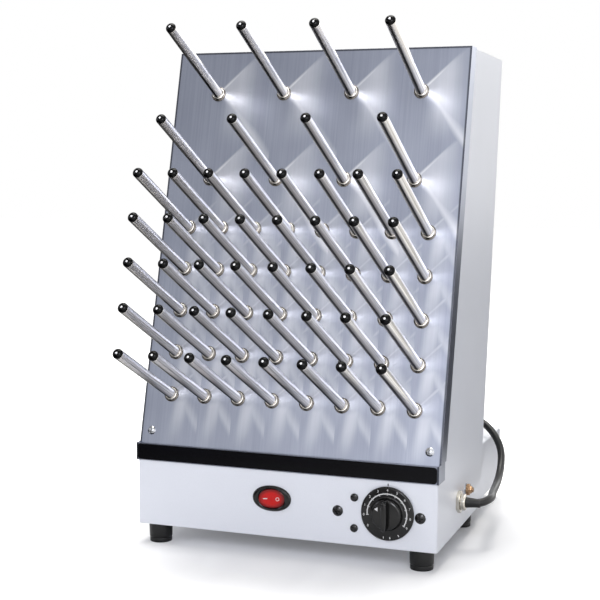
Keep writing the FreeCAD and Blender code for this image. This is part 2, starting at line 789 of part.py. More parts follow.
def peg_row(index, row, wide):
    """One row of air pegs: tubes with a ring and a flat collar that stands on the panel."""
    first, span, count = row_places(wide)
    body = turn_to_panel(new_body(f"peg_row_{index}_body"))
    ring = "(dims.ring_diameter / 2)"
    sink = f"({ring} * tan(dims.peg_tilt) + 1)"
    profile = sketch_on(body, "YZ_Plane", "peg_profile", offset=first)
    outline(profile, [
        along_peg(row, f"-{sink}", "0"),
        along_peg(row, f"-{sink}", ring),
        along_peg(row, "dims.ring_height - 0.6", ring),
        along_peg(row, "dims.ring_height", f"{ring} - 0.6"),
        along_peg(row, "dims.ring_height", PEG_RADIUS),
        along_peg(row, TUBE_END, PEG_RADIUS),
        along_peg(row, TUBE_END, "0"),
    ])
    peg_axis(profile, row)
    turned = revolve(body, "peg", profile, "Axis0")
    collar = sketch_on(body, "XY_Plane", "collar_face")
    circle(collar, first, row, "dims.collar_diameter / 2")
    flange = pad(body, "collar", collar, "dims.collar_thickness")
    hollow = sketch_on(body, "YZ_Plane", "bore_profile", offset=first)
    bore = f"({PEG_RADIUS} - dims.peg_wall)"
    outline(hollow, [
        along_peg(row, f"-2 * {sink}", "0"), along_peg(row, f"-2 * {sink}", bore),
        along_peg(row, f"{TUBE_END} + 1", bore), along_peg(row, f"{TUBE_END} + 1", "0"),
    ])
    peg_axis(hollow, row)
    drilled = revolve(body, "bore", hollow, "Axis0", kind="Groove")
    repeat(body, "pegs", [turned, flange, drilled], "X_Axis", span, count)
    below = sketch_on(body, "XY_Plane", "below_panel")
    rectangle(below, (f"-{HALF}", f"{row} - 30"), (HALF, f"{row} + 30"))
    pocket(body, "panel_face", below, "30")
    return keep(f"pegs_row_{index}", body)


def cap_row(index, row, wide):
    """The domed end caps of one row of pegs."""
    first, span, count = row_places(wide)
    body = turn_to_panel(new_body(f"cap_row_{index}_body"))
    profile = sketch_on(body, "YZ_Plane", "cap_profile", offset=first)
    height = "dims.cap_height"
    dome = f"(({PEG_RADIUS} ^ 2 + {height} ^ 2) / (2 * {height}))"
    half_angle = f"(asin({PEG_RADIUS} / {dome}) / 2)"
    centre = f"(dims.peg_length - {dome})"
    outline(profile, [
        along_peg(row, TUBE_END, "0"),
        along_peg(row, TUBE_END, PEG_RADIUS),
        along_peg(row, "dims.peg_length", "0"),
    ], arcs={1: along_peg(row, f"{centre} + {dome} * cos({half_angle})",
                          f"{dome} * sin({half_angle})") + (dome,)})
    peg_axis(profile, row)
    turned = revolve(body, "cap", profile, "Axis0")
    repeat(body, "caps", [turned], "X_Axis", span, count)
    return keep(f"peg_caps_row_{index}", body)


def panel_screws():
    """The two round-headed screws at the foot of the panel."""
    body = turn_to_panel(new_body("panel_screw_body"))
    height = "dims.panel_screw_height"
    radius = "(dims.small_screw_diameter / 2)"
    head = "(dims.panel_screw_head / 2)"
    tall = "dims.screw_head_height"
    dome = f"(({head} ^ 2 + {tall} ^ 2) / (2 * {tall}))"
    half_angle = f"(asin({head} / {dome}) / 2)"
    profile = sketch_on(body, "YZ_Plane", "screw_profile",
                        offset=f"-({HALF} - dims.panel_screw_inset)")
    outline(profile, [
        (height, "-dims.screw_reach"),
        (f"{height} + {radius}", "-dims.screw_reach"),
        (f"{height} + {radius}", "0"),
        (f"{height} + {head}", "0"),
        (height, tall),
    ], arcs={3: (f"{height} + {dome} * sin({half_angle})",
                 f"{tall} - {dome} + {dome} * cos({half_angle})", dome)})
    line = Part.LineSegment(Vector(number(height), 0, 0), Vector(number(height), 5, 0))
    curve = profile.addGeometry(line, True)
    tie_point(profile, curve, 1, height, "0")
    tie_point(profile, curve, 2, height, "5")
    turned = revolve(body, "screw", profile, "Axis0")
    repeat(body, "screws", [turned], "X_Axis", f"2 * ({HALF} - dims.panel_screw_inset)", "2")
    return keep("panel_screws", body)


def drip_channel():
    """The stainless trough that catches what runs down the panel."""
    body = new_body("channel_body")
    low = "dims.base_front_height"
    front = "-dims.channel_proud"
    side = PANEL_SIDE
    ends = sketch_on(body, "YZ_Plane", "channel_profile")
    rectangle(ends, (front, low), (f"dims.channel_end_depth {front}", CHANNEL_TOP))
    pad(body, "channel_block", ends, f"2 * {side}", middle=True)
    hollow = sketch_on(body, "YZ_Plane", "channel_hollow")
    floor = f"({low} + dims.sheet)"
    behind = "dims.channel_end_depth + 1"
    rest = f"({panel_back(low)} - dims.side_fit)"
    outline(hollow, [
        ("0", floor),
        (rest, floor),
        (rest, f"{low} - 1"),
        (behind, f"{low} - 1"),
        (behind, f"{CHANNEL_TOP} + 1"),
        ("0", f"{CHANNEL_TOP} + 1"),
    ])
    pocket(body, "channel_inside", hollow, f"2 * ({HALF} + dims.side_fit)", middle=True)
    return keep("drip_channel", body)


def channel_trim():
    """The black strip let into the face of the channel, with rounded corners."""
    body = new_body("trim_body")
    inset = "dims.trim_inset"
    radius = "dims.trim_corner"
    wide = f"({PANEL_SIDE} - {inset})"
    low = f"(dims.base_front_height + {inset} / 2)"
    high = f"({CHANNEL_TOP} - {inset} / 2)"
    corners = []
    arcs = {}
    bulge = f"({radius} * (1 - cos(45)))"
    for x_sign, z, z_sign, upright in (("-", low, "", False), ("", low, "", True),
                                       ("", high, "-", False), ("-", high, "-", True)):
        x_in = "-" if x_sign == "" else ""
        flat = (f"{x_sign}{wide} {x_in or '+'} {radius}", z)
        tall = (f"{x_sign}{wide}", f"{z} {z_sign or '+'} {radius}")
        pair = (flat, tall) if upright or (x_sign == "" and not upright and z == high) else (tall, flat)
        if x_sign == "" and z == high:
            pair = (tall, flat)
        if x_sign == "-" and z == high:
            pair = (flat, tall)
        middle = (f"{x_sign}{wide} {x_in or '+'} {bulge}", f"{z} {z_sign or '+'} {bulge}", radius)
        arcs[len(corners)] = middle
        corners.extend(pair)
    face = sketch_on(body, "XZ_Plane", "trim_face", offset="dims.channel_proud")
    outline(face, corners, arcs)
    pad(body, "trim_strip", face, "dims.trim_thickness")
    return keep("channel_trim", body)


# Controls on the front

def front_screw(name, across, height, head_diameter, stem_diameter):
    """A domed head on the front with a plain stem through the sheet, on one axis."""
    body = place(new_body(name), x=across, z=height)
    head = f"({head_diameter} / 2)"
    tall = "dims.screw_head_height"
    dome = f"(({head} ^ 2 + {tall} ^ 2) / (2 * {tall}))"
    half_angle = f"(asin({head} / {dome}) / 2)"
    profile = sketch_on(body, "YZ_Plane", f"{name}_profile")
    outline(profile, [
        ("dims.screw_reach", "0"),
        ("dims.screw_reach", f"{stem_diameter} / 2"),
        ("0", f"{stem_diameter} / 2"),
        ("0", head),
        (f"-{tall}", "0"),
    ], arcs={3: (f"{dome} - {tall} - {dome} * cos({half_angle})",
                 f"{dome} * sin({half_angle})", dome)})
    revolve(body, f"{name}_turned", profile, "H_Axis")
    return body


def front_fasteners():
    """The two black screws and the two small plugs beside the knob."""
    screws = [front_screw(f"control_screw_{side}", SCREWS_ACROSS[side],
                          "dims.control_screw_height", "dims.control_screw_head",
                          "dims.small_screw_diameter") for side in ("left", "right")]
    keep("control_screws", group("control_screw_pair", screws))
    plugs = [front_screw(f"blanking_plug_{level}", PLUG_ACROSS, f"dims.plug_{level}",
                         "dims.plug_head", "dims.plug_stem") for level in ("low", "high")]
    keep("blanking_plugs", group("blanking_plug_pair", plugs))


def control_plate():
    """The steel strip behind the front that carries the regulator."""
    body = new_body("control_plate_body")
    edge = 8
    profile = sketch_on(body, "XZ_Plane", "control_plate_face", offset="-dims.sheet")
    low = f"(dims.knob_height - dims.regulator_height / 2)"
    high = f"(dims.knob_height + dims.regulator_height / 2)"
    rectangle(profile, (f"{SCREWS_ACROSS['left']} - {edge}", low),
              (f"{SCREWS_ACROSS['right']} + {edge}", high))
    pad(body, "control_plate_sheet", profile, "dims.sheet", back=True)
    holes = sketch_on(body, "XZ_Plane", "control_plate_holes")
    circle(holes, KNOB_ACROSS, "dims.knob_height",
           "dims.regulator_bush / 2 + dims.hole_clearance")
    for across in SCREWS_ACROSS.values():
        circle(holes, across, "dims.control_screw_height",
               "dims.small_screw_diameter / 2 + dims.hole_clearance")
    for height in ("dims.plug_low", "dims.plug_high"):
        circle(holes, PLUG_ACROSS, height, "dims.plug_stem / 2 + dims.hole_clearance")
    pocket(body, "control_plate_cut", holes, "3 * dims.sheet")
    return keep("control_plate", body)


def rocker_switch():
    """The switch: an oval bezel on a snap-in body, and the rocker that turns in it."""
    body = place(new_body("switch_body_body"), x="dims.switch_across", z="dims.switch_height")
    face = sketch_on(body, "XZ_Plane", "bezel_face")
    round_ended(face, "dims.bezel_width", "dims.bezel_height")
    pad(body, "bezel", face, "dims.bezel_thickness")
    stem = sketch_on(body, "XZ_Plane", "switch_stem")
    round_ended(stem, "dims.switch_body_width", "dims.switch_body_height")
    pad(body, "switch_block", stem, "dims.switch_body_depth", back=True)
    well = sketch_on(body, "XZ_Plane", "rocker_well", offset="dims.bezel_thickness")
    round_ended(well, "dims.rocker_opening_width", "dims.rocker_opening_height")
    pocket(body, "rocker_opening", well,
           "dims.bezel_thickness + dims.rocker_pivot_depth + 8")
    pins = sketch_on(body, "XY_Plane", "pin_holes")
    circle(pins, "0", "dims.rocker_pivot_depth", "dims.rocker_pin / 2 + dims.bearing_gap")
    pocket(body, "pin_bearings", pins, "dims.rocker_opening_height + 3.2", middle=True)
    keep("switch_body", body)

    rocker = new_body("rocker_body")
    rocker.Placement = Placement(Vector(0, 0, 0), Rotation(Vector(0, 0, 1), 5))
    bind(rocker, Placement__Rotation__Angle="dims.rocker_tilt")
    place(rocker, "dims.switch_across", "dims.rocker_pivot_depth", "dims.switch_height")
    tip = ("(dims.rocker_opening_width / 2 - dims.rocker_gap"
           " - (dims.rocker_pivot_depth + dims.bezel_thickness + dims.rocker_proud)"
           " * sin(dims.rocker_tilt))")
    front = "(dims.rocker_pivot_depth + dims.bezel_thickness + dims.rocker_proud)"
    waist = "(dims.rocker_opening_width / 2 - dims.rocker_gap)"
    valley = f"({front} - {tip} * sin(dims.rocker_tilt))"
    plan = sketch_on(rocker, "XY_Plane", "rocker_plan")
    outline(plan, [
        (f"-{tip}", f"-{front}"),
        ("0", f"-{valley}"),
        (tip, f"-{front}"),
        (waist, "0"),
        (f"{waist} - 5", "4.5"),
        (f"5 - {waist}", "4.5"),
        (f"-{waist}", "0"),
    ])
    pad(rocker, "rocker_block", plan, "dims.rocker_opening_height - 2 * dims.rocker_gap",
        middle=True)
    form = new_body("rocker_form_body")
    form.Placement = rocker.Placement
    bind(form, Placement__Rotation__Angle="dims.rocker_tilt")
    place(form, "dims.switch_across", "dims.rocker_pivot_depth", "dims.switch_height")
    ends = sketch_on(form, "XZ_Plane", "rocker_ends", offset="15")
    round_ended(ends, f"(2 * {tip})", "(dims.rocker_opening_height - 2 * dims.rocker_gap)")
    pad(form, "rocker_prism", ends, "30", back=True)
    shaped = doc.addObject("Part::Common", "rocker_shaped")
    shaped.Base = rocker
    shaped.Tool = form
    pin = rod("rocker_pin_rod", "z", "dims.rocker_pin / 2", "dims.rocker_opening_height + 2.4",
              "dims.switch_across", "dims.rocker_pivot_depth",
              "dims.switch_height - dims.rocker_opening_height / 2 - 1.2")
    keep("switch_rocker", joined("rocker_with_pins", [shaped, pin]))


def regulator():
    """The heat regulator behind the front, its spindle and the knob on it."""
    spot = {"x": KNOB_ACROSS, "z": "dims.knob_height"}
    body = place(new_body("regulator_body_body"), **spot)
    case = sketch_on(body, "XZ_Plane", "regulator_case", offset="-2 * dims.sheet")
    rectangle(case, ("-dims.regulator_width / 2", "-dims.regulator_height / 2 + 2"),
              ("dims.regulator_width / 2", "dims.regulator_height / 2 - 2"))
    pad(body, "regulator_block", case, "dims.regulator_depth", back=True)
    bush = sketch_on(body, "XZ_Plane", "regulator_bush_face", offset="-2 * dims.sheet - 1")
    circle(bush, "0", "0", "dims.regulator_bush / 2")
    pad(body, "regulator_neck", bush, "2 * dims.sheet + 1")
    bore = sketch_on(body, "XZ_Plane", "regulator_bore", offset="1")
    circle(bore, "0", "0", "dims.spindle_diameter / 2 + dims.bearing_gap")
    pocket(body, "spindle_bearing", bore,
           "dims.spindle_length - dims.knob_grip_height / 2 + 2")
    keep("regulator_body", body)

    inner_end = "(dims.spindle_length - dims.knob_grip_height / 2)"
    spindle = rod("spindle_rod", "y", "dims.spindle_diameter / 2", "dims.spindle_length",
                  x=spot["x"], y=f"{inner_end} - dims.spindle_length", z=spot["z"])
    keep("regulator_spindle", spindle)

    knob = place(new_body("knob_body"), y="-dims.knob_stand_off", **spot)
    rim = "(dims.knob_diameter / 2)"
    hub = "(dims.knob_hub_diameter / 2)"
    profile = sketch_on(knob, "YZ_Plane", "knob_profile")
    outline(profile, [
        ("0", "0"),
        ("0", rim),
        ("-dims.knob_skirt / 2", rim),
        ("-dims.knob_skirt", f"{rim} - 1.6"),
        ("-dims.knob_skirt", hub),
        ("-dims.knob_hub_height", f"{hub} - 1.2"),
        ("-dims.knob_hub_height - 1", f"{hub} - 2.4"),
        ("-dims.knob_hub_height - 1", "0"),
    ])
    revolve(knob, "knob_turned", profile, "H_Axis")
    grip = sketch_on(knob, "XZ_Plane", "knob_grip", offset="dims.knob_hub_height")
    half = "(dims.knob_grip_width / 2)"
    reach = f"({hub} - 1.2)"
    outline(grip, [(f"-{half}", f"-{reach} + 2"), (half, f"-{reach} + 2"), (half, f"{reach} - 2"),
                   (f"-{half}", f"{reach} - 2")])
    pad(knob, "knob_bar", grip, "dims.knob_grip_height - dims.knob_hub_height")
    spline = sketch_on(knob, "XZ_Plane", "knob_bore", offset="-1")
    circle(spline, "0", "0", "dims.spindle_diameter / 2 + dims.bearing_gap")
    pocket(knob, "knob_bore_cut", spline, "dims.knob_grip_height / 2 + 1.5", back=True)
    keep("control_knob", knob)


# Feet

def feet():
    """Four tapered rubber feet, their screws and nuts."""
    rubber = []
    screws = []
    nuts = []
    top = "dims.foot_diameter / 2"
    head = "(dims.foot_recess / 2 - 1)"
    for side, side_sign in (("left", "-"), ("right", "")):
        for end in ("front", "rear"):
            x = f"{side_sign}({HALF} - dims.foot_inset)"
            y = f"dims.foot_{end}"
            name = f"{side}_{end}"
            cone = doc.addObject("Part::Cone", f"foot_cone_{name}")
            bind(cone, Radius1=f"{top} - dims.foot_taper", Radius2=top,
                 Height="dims.foot_height")
            place(cone, x, y, "-dims.foot_height")
            recess = rod(f"foot_recess_{name}", "z", "dims.foot_recess / 2",
                         "dims.foot_height * 0.6", x, y, "-dims.foot_height")
            bore = rod(f"foot_bore_{name}", "z", "dims.foot_screw / 2 + dims.hole_clearance",
                       "dims.foot_height + 2", x, y, "-dims.foot_height - 1")
            tool = joined(f"foot_hollow_{name}", [recess, bore])
            rubber.append(cut(f"foot_{name}", cone, tool))
            seat = "(-dims.foot_height * 0.4)"
            disc = rod(f"foot_screw_head_{name}", "z", head, "3", x, y, f"{seat} - 3")
            stem = rod(f"foot_screw_stem_{name}", "z", "dims.foot_screw / 2",
                       "dims.foot_height * 0.4 + 2 * dims.sheet + 6", x, y, f"{seat} - 1")
            screws.append(joined(f"foot_screw_{name}", [disc, stem]))
            block_ = hexagon(f"foot_nut_block_{name}", "z", "dims.small_nut_flats",
                             "dims.small_nut_height", x, y, "2 * dims.sheet")
            hole = rod(f"foot_nut_hole_{name}", "z", "dims.foot_screw / 2 + 0.1",
                       "dims.small_nut_height + 2",
                       x, y, "2 * dims.sheet - 1")
            nuts.append(cut(f"foot_nut_{name}", block_, hole))
    keep("feet", group("foot_set", rubber))
    keep("foot_screws", group("foot_screw_set", screws))
    keep("foot_nuts", group("foot_nut_set", nuts))


# Cable gland and earth terminal on the right side

def ring(name, radius, inner, length, start):
    """A turned ring on the gland's axis, from a distance off the cabinet's side."""
    where = {"y": "dims.gland_back", "z": "dims.gland_height"}
    outer = rod(f"{name}_outer", "x", radius, length, x=f"{HALF} + {start}", **where)
    hole = rod(f"{name}_hole", "x", inner, f"{length} + 2", x=f"{HALF} + {start} - 1", **where)
    return cut(name, outer, hole)


def cable_gland():
    """The plated gland: body, inner lock nut, cap nut and rubber seal."""
    where = {"y": "dims.gland_back", "z": "dims.gland_height"}
    cord_hole = "(dims.cord_diameter / 2 + 0.4)"
    flange = hexagon("gland_hexagon", "x", "dims.gland_hex", "dims.gland_flange",
                     x=HALF, **where)
    thread = rod("gland_thread", "x", "dims.gland_thread / 2", "dims.sheet + 8",
                 x=f"{HALF} - dims.sheet - 7", **where)
    solid = joined("gland_solid", [flange, thread])
    bore = rod("gland_bore", "x", cord_hole, "dims.sheet + dims.gland_flange + 12",
               x=f"{HALF} - dims.sheet - 9", **where)
    keep("gland_body", cut("gland_turned", solid, bore))
    nut = hexagon("lock_nut_block", "x", "dims.gland_hex", "4",
                  x=f"{HALF} - dims.sheet - 4", **where)
    nut_hole = rod("lock_nut_hole", "x", "dims.gland_thread / 2 + dims.bearing_gap", "6",
                   x=f"{HALF} - dims.sheet - 5", **where)
    keep("gland_lock_nut", cut("lock_nut_cut", nut, nut_hole))
    keep("gland_cap_nut", ring("cap_nut", "dims.gland_nut_diameter / 2", cord_hole,
                               "dims.gland_nut", "dims.gland_flange"))
    keep("gland_seal", ring("seal", "dims.gland_seal_diameter / 2",
                            "dims.cord_diameter / 2 - 0.6", "dims.gland_seal",
                            "dims.gland_flange + dims.gland_nut"))


def earth_terminal():
    """The brass earth stud with its washer, inner nut and thumb nut."""
    where = {"y": "dims.earth_back", "z": "dims.earth_height"}
    radius = "(dims.earth_stud / 2)"
    stud = rod("stud_rod", "x", radius, "dims.earth_reach + dims.sheet + 8",
               x=f"{HALF} - dims.sheet - 8", **where)
    keep("earth_stud", stud)

    def threaded(name, blank, length, start):
        """A blank with the stud's clearance hole."""
        hole = rod(f"{name}_hole", "x", f"{radius} + dims.bearing_gap", f"{length} + 2",
                   x=f"{start} - 1", **where)
        return cut(name, blank, hole)

    washer = rod("washer_disc", "x", "dims.earth_washer / 2", "dims.sheet", x=HALF, **where)
    keep("earth_washer", threaded("washer", washer, "dims.sheet", HALF))
    start = f"{HALF} + dims.sheet"
    thumb = rod("thumb_disc", "x", "dims.earth_nut / 2", "dims.earth_nut_length",
                x=start, **where)
    boss = rod("thumb_boss", "x", "dims.earth_nut / 2 - 2", "dims.earth_boss",
               x=f"{start} + dims.earth_nut_length", **where)
    blank = joined("thumb_blank", [thumb, boss])
    keep("earth_thumb_nut", threaded("thumb_nut", blank, "dims.earth_nut_length + dims.earth_boss",
                                      start))
    inside = f"{HALF} - dims.sheet - dims.small_nut_height"
    inner = hexagon("earth_inner_block", "x", "dims.small_nut_flats", "dims.small_nut_height",
                    x=inside, **where)
    keep("earth_inner_nut", threaded("earth_inner", inner, "dims.small_nut_height", inside))


# Blower in the rear housing

def blower():
    """The scroll, its rubber mounts, the motor's stator and the impeller that turns on it."""
    middle = BLOWER_MIDDLE
    scroll = place(new_body("scroll_body"), y=middle, z="dims.blower_floor")
    radius = "dims.blower_radius"
    wall = "dims.blower_wall"
    mouth = f"({middle} - {rear_face('dims.blower_floor + dims.blower_height')} - 2 - {COVER_DEPTH})"
    duct = "dims.outlet_width"
    corner = f"sqrt({radius} ^ 2 - ({radius} - dims.blower_wall) ^ 2)"
    plan = sketch_on(scroll, "XY_Plane", "scroll_plan")
    outline(plan, [
        (f"-{radius}", "0"), (f"-{radius}", f"-{mouth}"), (f"-{radius} + {duct} + 2 * {wall}", f"-{mouth}"),
        (f"-{radius} + {duct} + 2 * {wall}", f"-sqrt({radius} ^ 2 - ({duct} + 2 * {wall} - {radius}) ^ 2)"),
    ], arcs={3: (f"{radius} * cos(45)", f"{radius} * sin(45)", radius)})
    pad(scroll, "scroll_block", plan, "dims.blower_height")
    inside = sketch_on(scroll, "XY_Plane", "scroll_inside", offset=wall)
    inner = f"({radius} - {wall})"
    outline(inside, [
        (f"-{inner}", "0"), (f"-{inner}", f"-{mouth} - 1"), (f"-{inner} + {duct}", f"-{mouth} - 1"),
        (f"-{inner} + {duct}", f"-sqrt({inner} ^ 2 - ({duct} - {inner}) ^ 2)"),
    ], arcs={3: (f"{inner} * cos(45)", f"{inner} * sin(45)", inner)})
    pocket(scroll, "scroll_hollow", inside, f"dims.blower_height - 2 * {wall}", back=True)
    eye = sketch_on(scroll, "XY_Plane", "scroll_eye", offset=f"dims.blower_height - {wall} - 1")
    circle(eye, "0", "0", "dims.blower_eye / 2")
    pocket(scroll, "intake_eye", eye, f"{wall} + 3", back=True)
    keep("blower_scroll", scroll)

    floor = "(dims.housing_bottom + dims.sheet)"
    mounts = []
    for name, x, y in (("left", f"-{radius} + 9", middle), ("right", f"{radius} - 9", middle),
                       ("back", "0", f"{middle} + {radius} - 9")):
        mounts.append(rod(f"mount_{name}", "z", "5", f"dims.blower_floor - {floor}", x, y, floor))
    keep("blower_mounts", group("mount_set", mounts))

    motor_floor = f"(dims.blower_floor + {wall})"
    base = rod("stator_base", "z", "dims.motor_diameter / 2 + 3", "2", "0", middle, motor_floor)
    core = rod("stator_core", "z", "dims.motor_diameter / 2", "dims.motor_height",
               "0", middle, motor_floor)
    shaft = rod("stator_shaft", "z", SHAFT_RADIUS, "dims.motor_height + 8", "0", middle, motor_floor)
    keep("motor_stator", joined("stator", [base, core, shaft]))

    wheel = place(new_body("impeller_body"), y=middle, z=IMPELLER_FLOOR)
    cup = "(dims.motor_diameter / 2 + 1.5)"
    plate = "1.5"
    rim = "(dims.impeller_diameter / 2)"
    lid = f"(dims.motor_height - 3 + {plate})"
    profile = sketch_on(wheel, "YZ_Plane", "wheel_profile")
    outline(profile, [
        (f"{SHAFT_RADIUS} + dims.bearing_gap", lid),
        (cup, lid),
        (cup, "0"),
        (rim, "0"),
        (rim, plate),
        (f"{cup} + {plate}", plate),
        (f"{cup} + {plate}", f"{lid} + {plate}"),
        (f"{SHAFT_RADIUS} + 3", f"{lid} + {plate}"),
        (f"{SHAFT_RADIUS} + 3", f"{lid} + 4"),
        (f"{SHAFT_RADIUS} + dims.bearing_gap", f"{lid} + 4"),
    ])
    revolve(wheel, "wheel_back", profile, "V_Axis")
    blade = sketch_on(wheel, "XY_Plane", "blade_plan", offset="0.5")
    inner_edge = f"({rim} - dims.blade_depth)"
    thick = "dims.blade_thickness"
    bow = "(dims.blade_depth * 0.22)"
    curl = f"((((dims.blade_depth - 0.3) / 2) ^ 2 + {bow} ^ 2) / (2 * {bow}))"
    blade_middle = f"({rim} - 0.15 - dims.blade_depth / 2)"
    outline(blade, [
        (inner_edge, "0"), (f"{rim} - 0.3", "0"), (f"{rim} - 0.3", thick), (inner_edge, thick),
    ], arcs={0: (blade_middle, f"-{bow}", curl), 2: (blade_middle, f"{thick} - {bow}", curl)})
    first = pad(wheel, "blade", blade, "dims.impeller_height - 0.5")
    blades = wheel.newObject("PartDesign::PolarPattern", "blades")
    blades.Originals = [first]
    blades.Axis = (origin_item(wheel, "Z_Axis"), [""])
    blades.Angle = 360
    bind(blades, Occurrences="dims.blade_count")
    wheel.Tip = blades
    hoop = sketch_on(wheel, "XY_Plane", "hoop_plan", offset="dims.impeller_height - 1.5")
    circle(hoop, "0", "0", rim)
    circle(hoop, "0", "0", f"{rim} - dims.blade_depth")
    pad(wheel, "hoop", hoop, "1.5")
    keep("impeller", wheel)


# Heater and wiring inside the cabinet

def heater():
    """A sheathed heating tube in serpentine runs, on two upright brackets."""
    floor = number("2 * dims.sheet")
    pitch = SIZES["heater_pitch"]
    half = SIZES["heater_half_width"]
    radius = SIZES["heater_tube"] / 2
    runs = int(SIZES["heater_runs"])
    front = SIZES["heater_front"]
    low = floor + SIZES["heater_rise"]
    path = []
    for run in range(runs):
        height = low + run * pitch
        start, end = (-half, half) if run % 2 == 0 else (half, -half)
        path.append(Part.LineSegment(Vector(start, front, height),
                                     Vector(end, front, height)).toShape())
        if run < runs - 1:
            bulge = end + (pitch / 2 if end > 0 else -pitch / 2)
            path.append(Part.Arc(Vector(end, front, height),
                                 Vector(bulge, front, height + pitch / 2),
                                 Vector(end, front, height + pitch)).toShape())
    wire = Part.Wire(path)
    section = Part.Wire(Part.Circle(Vector(-half, front, low), Vector(1, 0, 0), radius).toShape())
    tube = wire.makePipeShell([section], True, False)
    element = doc.addObject("Part::Feature", "heater_tube_solid")
    element.Shape = tube
    keep("heater_element", element)

    brackets = []
    thick = "dims.heater_bracket"
    tall = "(dims.heater_rise + (dims.heater_runs - 1) * dims.heater_pitch + dims.heater_tube)"
    for name, sign in (("left", "-"), ("right", "")):
        x = f"{sign}(dims.heater_half_width - dims.bracket_foot) - {thick} / 2"
        plate = block(f"bracket_plate_{name}", (thick, "dims.bracket_depth", tall),
                      x, "dims.heater_front - dims.bracket_depth / 2", "2 * dims.sheet")
        foot = block(f"bracket_foot_{name}", ("dims.bracket_foot", "dims.bracket_depth", thick),
                     x, "dims.heater_front - dims.bracket_depth / 2", "2 * dims.sheet")
        blank = joined(f"bracket_blank_{name}", [plate, foot])
        holes = []
        for run in range(runs):
            holes.append(rod(f"bracket_hole_{name}_{run}", "x",
                             "dims.heater_tube / 2 + 0.1", f"{thick} + 4",
                             f"{x} - 2", "dims.heater_front",
                             f"2 * dims.sheet + dims.heater_rise + {run} * dims.heater_pitch"))
        brackets.append(cut(f"bracket_{name}", blank, joined(f"bracket_holes_{name}", holes)))
    keep("heater_brackets", group("bracket_pair", brackets))

    keep("thermal_cutout", rod("cutout_disc", "z", "8", "7", "dims.heater_half_width + 26",
                               "dims.heater_front - 12", "2 * dims.sheet"))


def terminal_block():
    """The moulded connector strip on the floor, where the cord's wires end."""
    length = "48"
    base = block("terminal_base", (length, "20", "12"), f"{HALF} - 78", "70", "2 * dims.sheet")
    screws = [rod(f"terminal_bore_{index}", "z", "2.2", "10",
                  f"{HALF} - 78 + 8 + {index} * 16", "80", "2 * dims.sheet + 6")
              for index in range(3)]
    keep("terminal_block", cut("terminal_cut", base, joined("terminal_bores", screws)))


# Mains cord: its free stretch, its coil and its plug

def cord_path(points):
    """Straight runs joined by tangent arcs, each as large as its two runs allow."""
    corners = [Vector(*point) for point in points]
    edges = []
    radii = []
    start = corners[0]
    for before, corner, after in zip(corners, corners[1:], corners[2:]):
        run_in = corner - before
        run_out = after - corner
        half_turn = run_in.getAngle(run_out) / 2
        reach = 0.45 * min(run_in.Length, run_out.Length)
        radius = reach / math.tan(half_turn)
        first = corner - run_in.normalize() * reach
        last = corner + run_out.normalize() * reach
        inward = ((first + last) * 0.5 - corner).normalize()
        middle = corner + inward * (radius / math.cos(half_turn) - radius)
        edges.append(Part.LineSegment(start, first).toShape())
        edges.append(Part.Arc(first, middle, last).toShape())
        radii.append(radius)
        start = last
    edges.append(Part.LineSegment(start, corners[-1]).toShape())
    return Part.Wire(edges), radii


def mains_cord():
    """The tube of the stretch that isn't coiled."""
    path, radii = cord_path(CORD_POINTS)
    start = Vector(*CORD_POINTS[0])
    away = Vector(*CORD_POINTS[1]) - start
    radius = number("dims.cord_diameter / 2")
    section = Part.Wire(Part.Circle(start, away, radius).toShape())
    tube = doc.addObject("Part::Feature", "cord_tube")
    tube.Shape = path.makePipeShell([section], True, False)
    keep("mains_cord", tube)
    expected = math.pi * radius ** 2 * path.Length
    print("cord radii", [round(value) for value in radii])
    print(f"cord {path.Length:.0f} mm, volume {tube.Shape.Volume / expected:.4f} of section x length")


def cord_coil():
    """One closed ring of the outer shape of the wound turns, on the bench."""
    body = place(new_body("coil_body"), "dims.coil_across", "dims.coil_back", "-dims.foot_height")
    profile = sketch_on(body, "YZ_Plane", "coil_profile")
    half = "(dims.coil_columns * dims.cord_diameter / 2)"
    high = "(dims.coil_layers * dims.cord_diameter)"
    round_ = "(dims.cord_diameter / 2)"
    low_y = f"(dims.coil_middle_radius - {half})"
    high_y = f"(dims.coil_middle_radius + {half})"
    near = f"({round_} * (1 - cos(45)))"
    outline(profile, [
        (f"{low_y} + {round_}", "0"), (f"{high_y} - {round_}", "0"), (high_y, round_),
        (high_y, f"{high} - {round_}"), (f"{high_y} - {round_}", high),
        (f"{low_y} + {round_}", high), (low_y, f"{high} - {round_}"), (low_y, round_),
    ], arcs={1: (f"{high_y} - {near}", near, round_),
             3: (f"{high_y} - {near}", f"{high} - {near}", round_),
             5: (f"{low_y} + {near}", f"{high} - {near}", round_),
             7: (f"{low_y} + {near}", near, round_)})
    revolve(body, "coil_ring", profile, "V_Axis")
    keep("cord_coil", body)


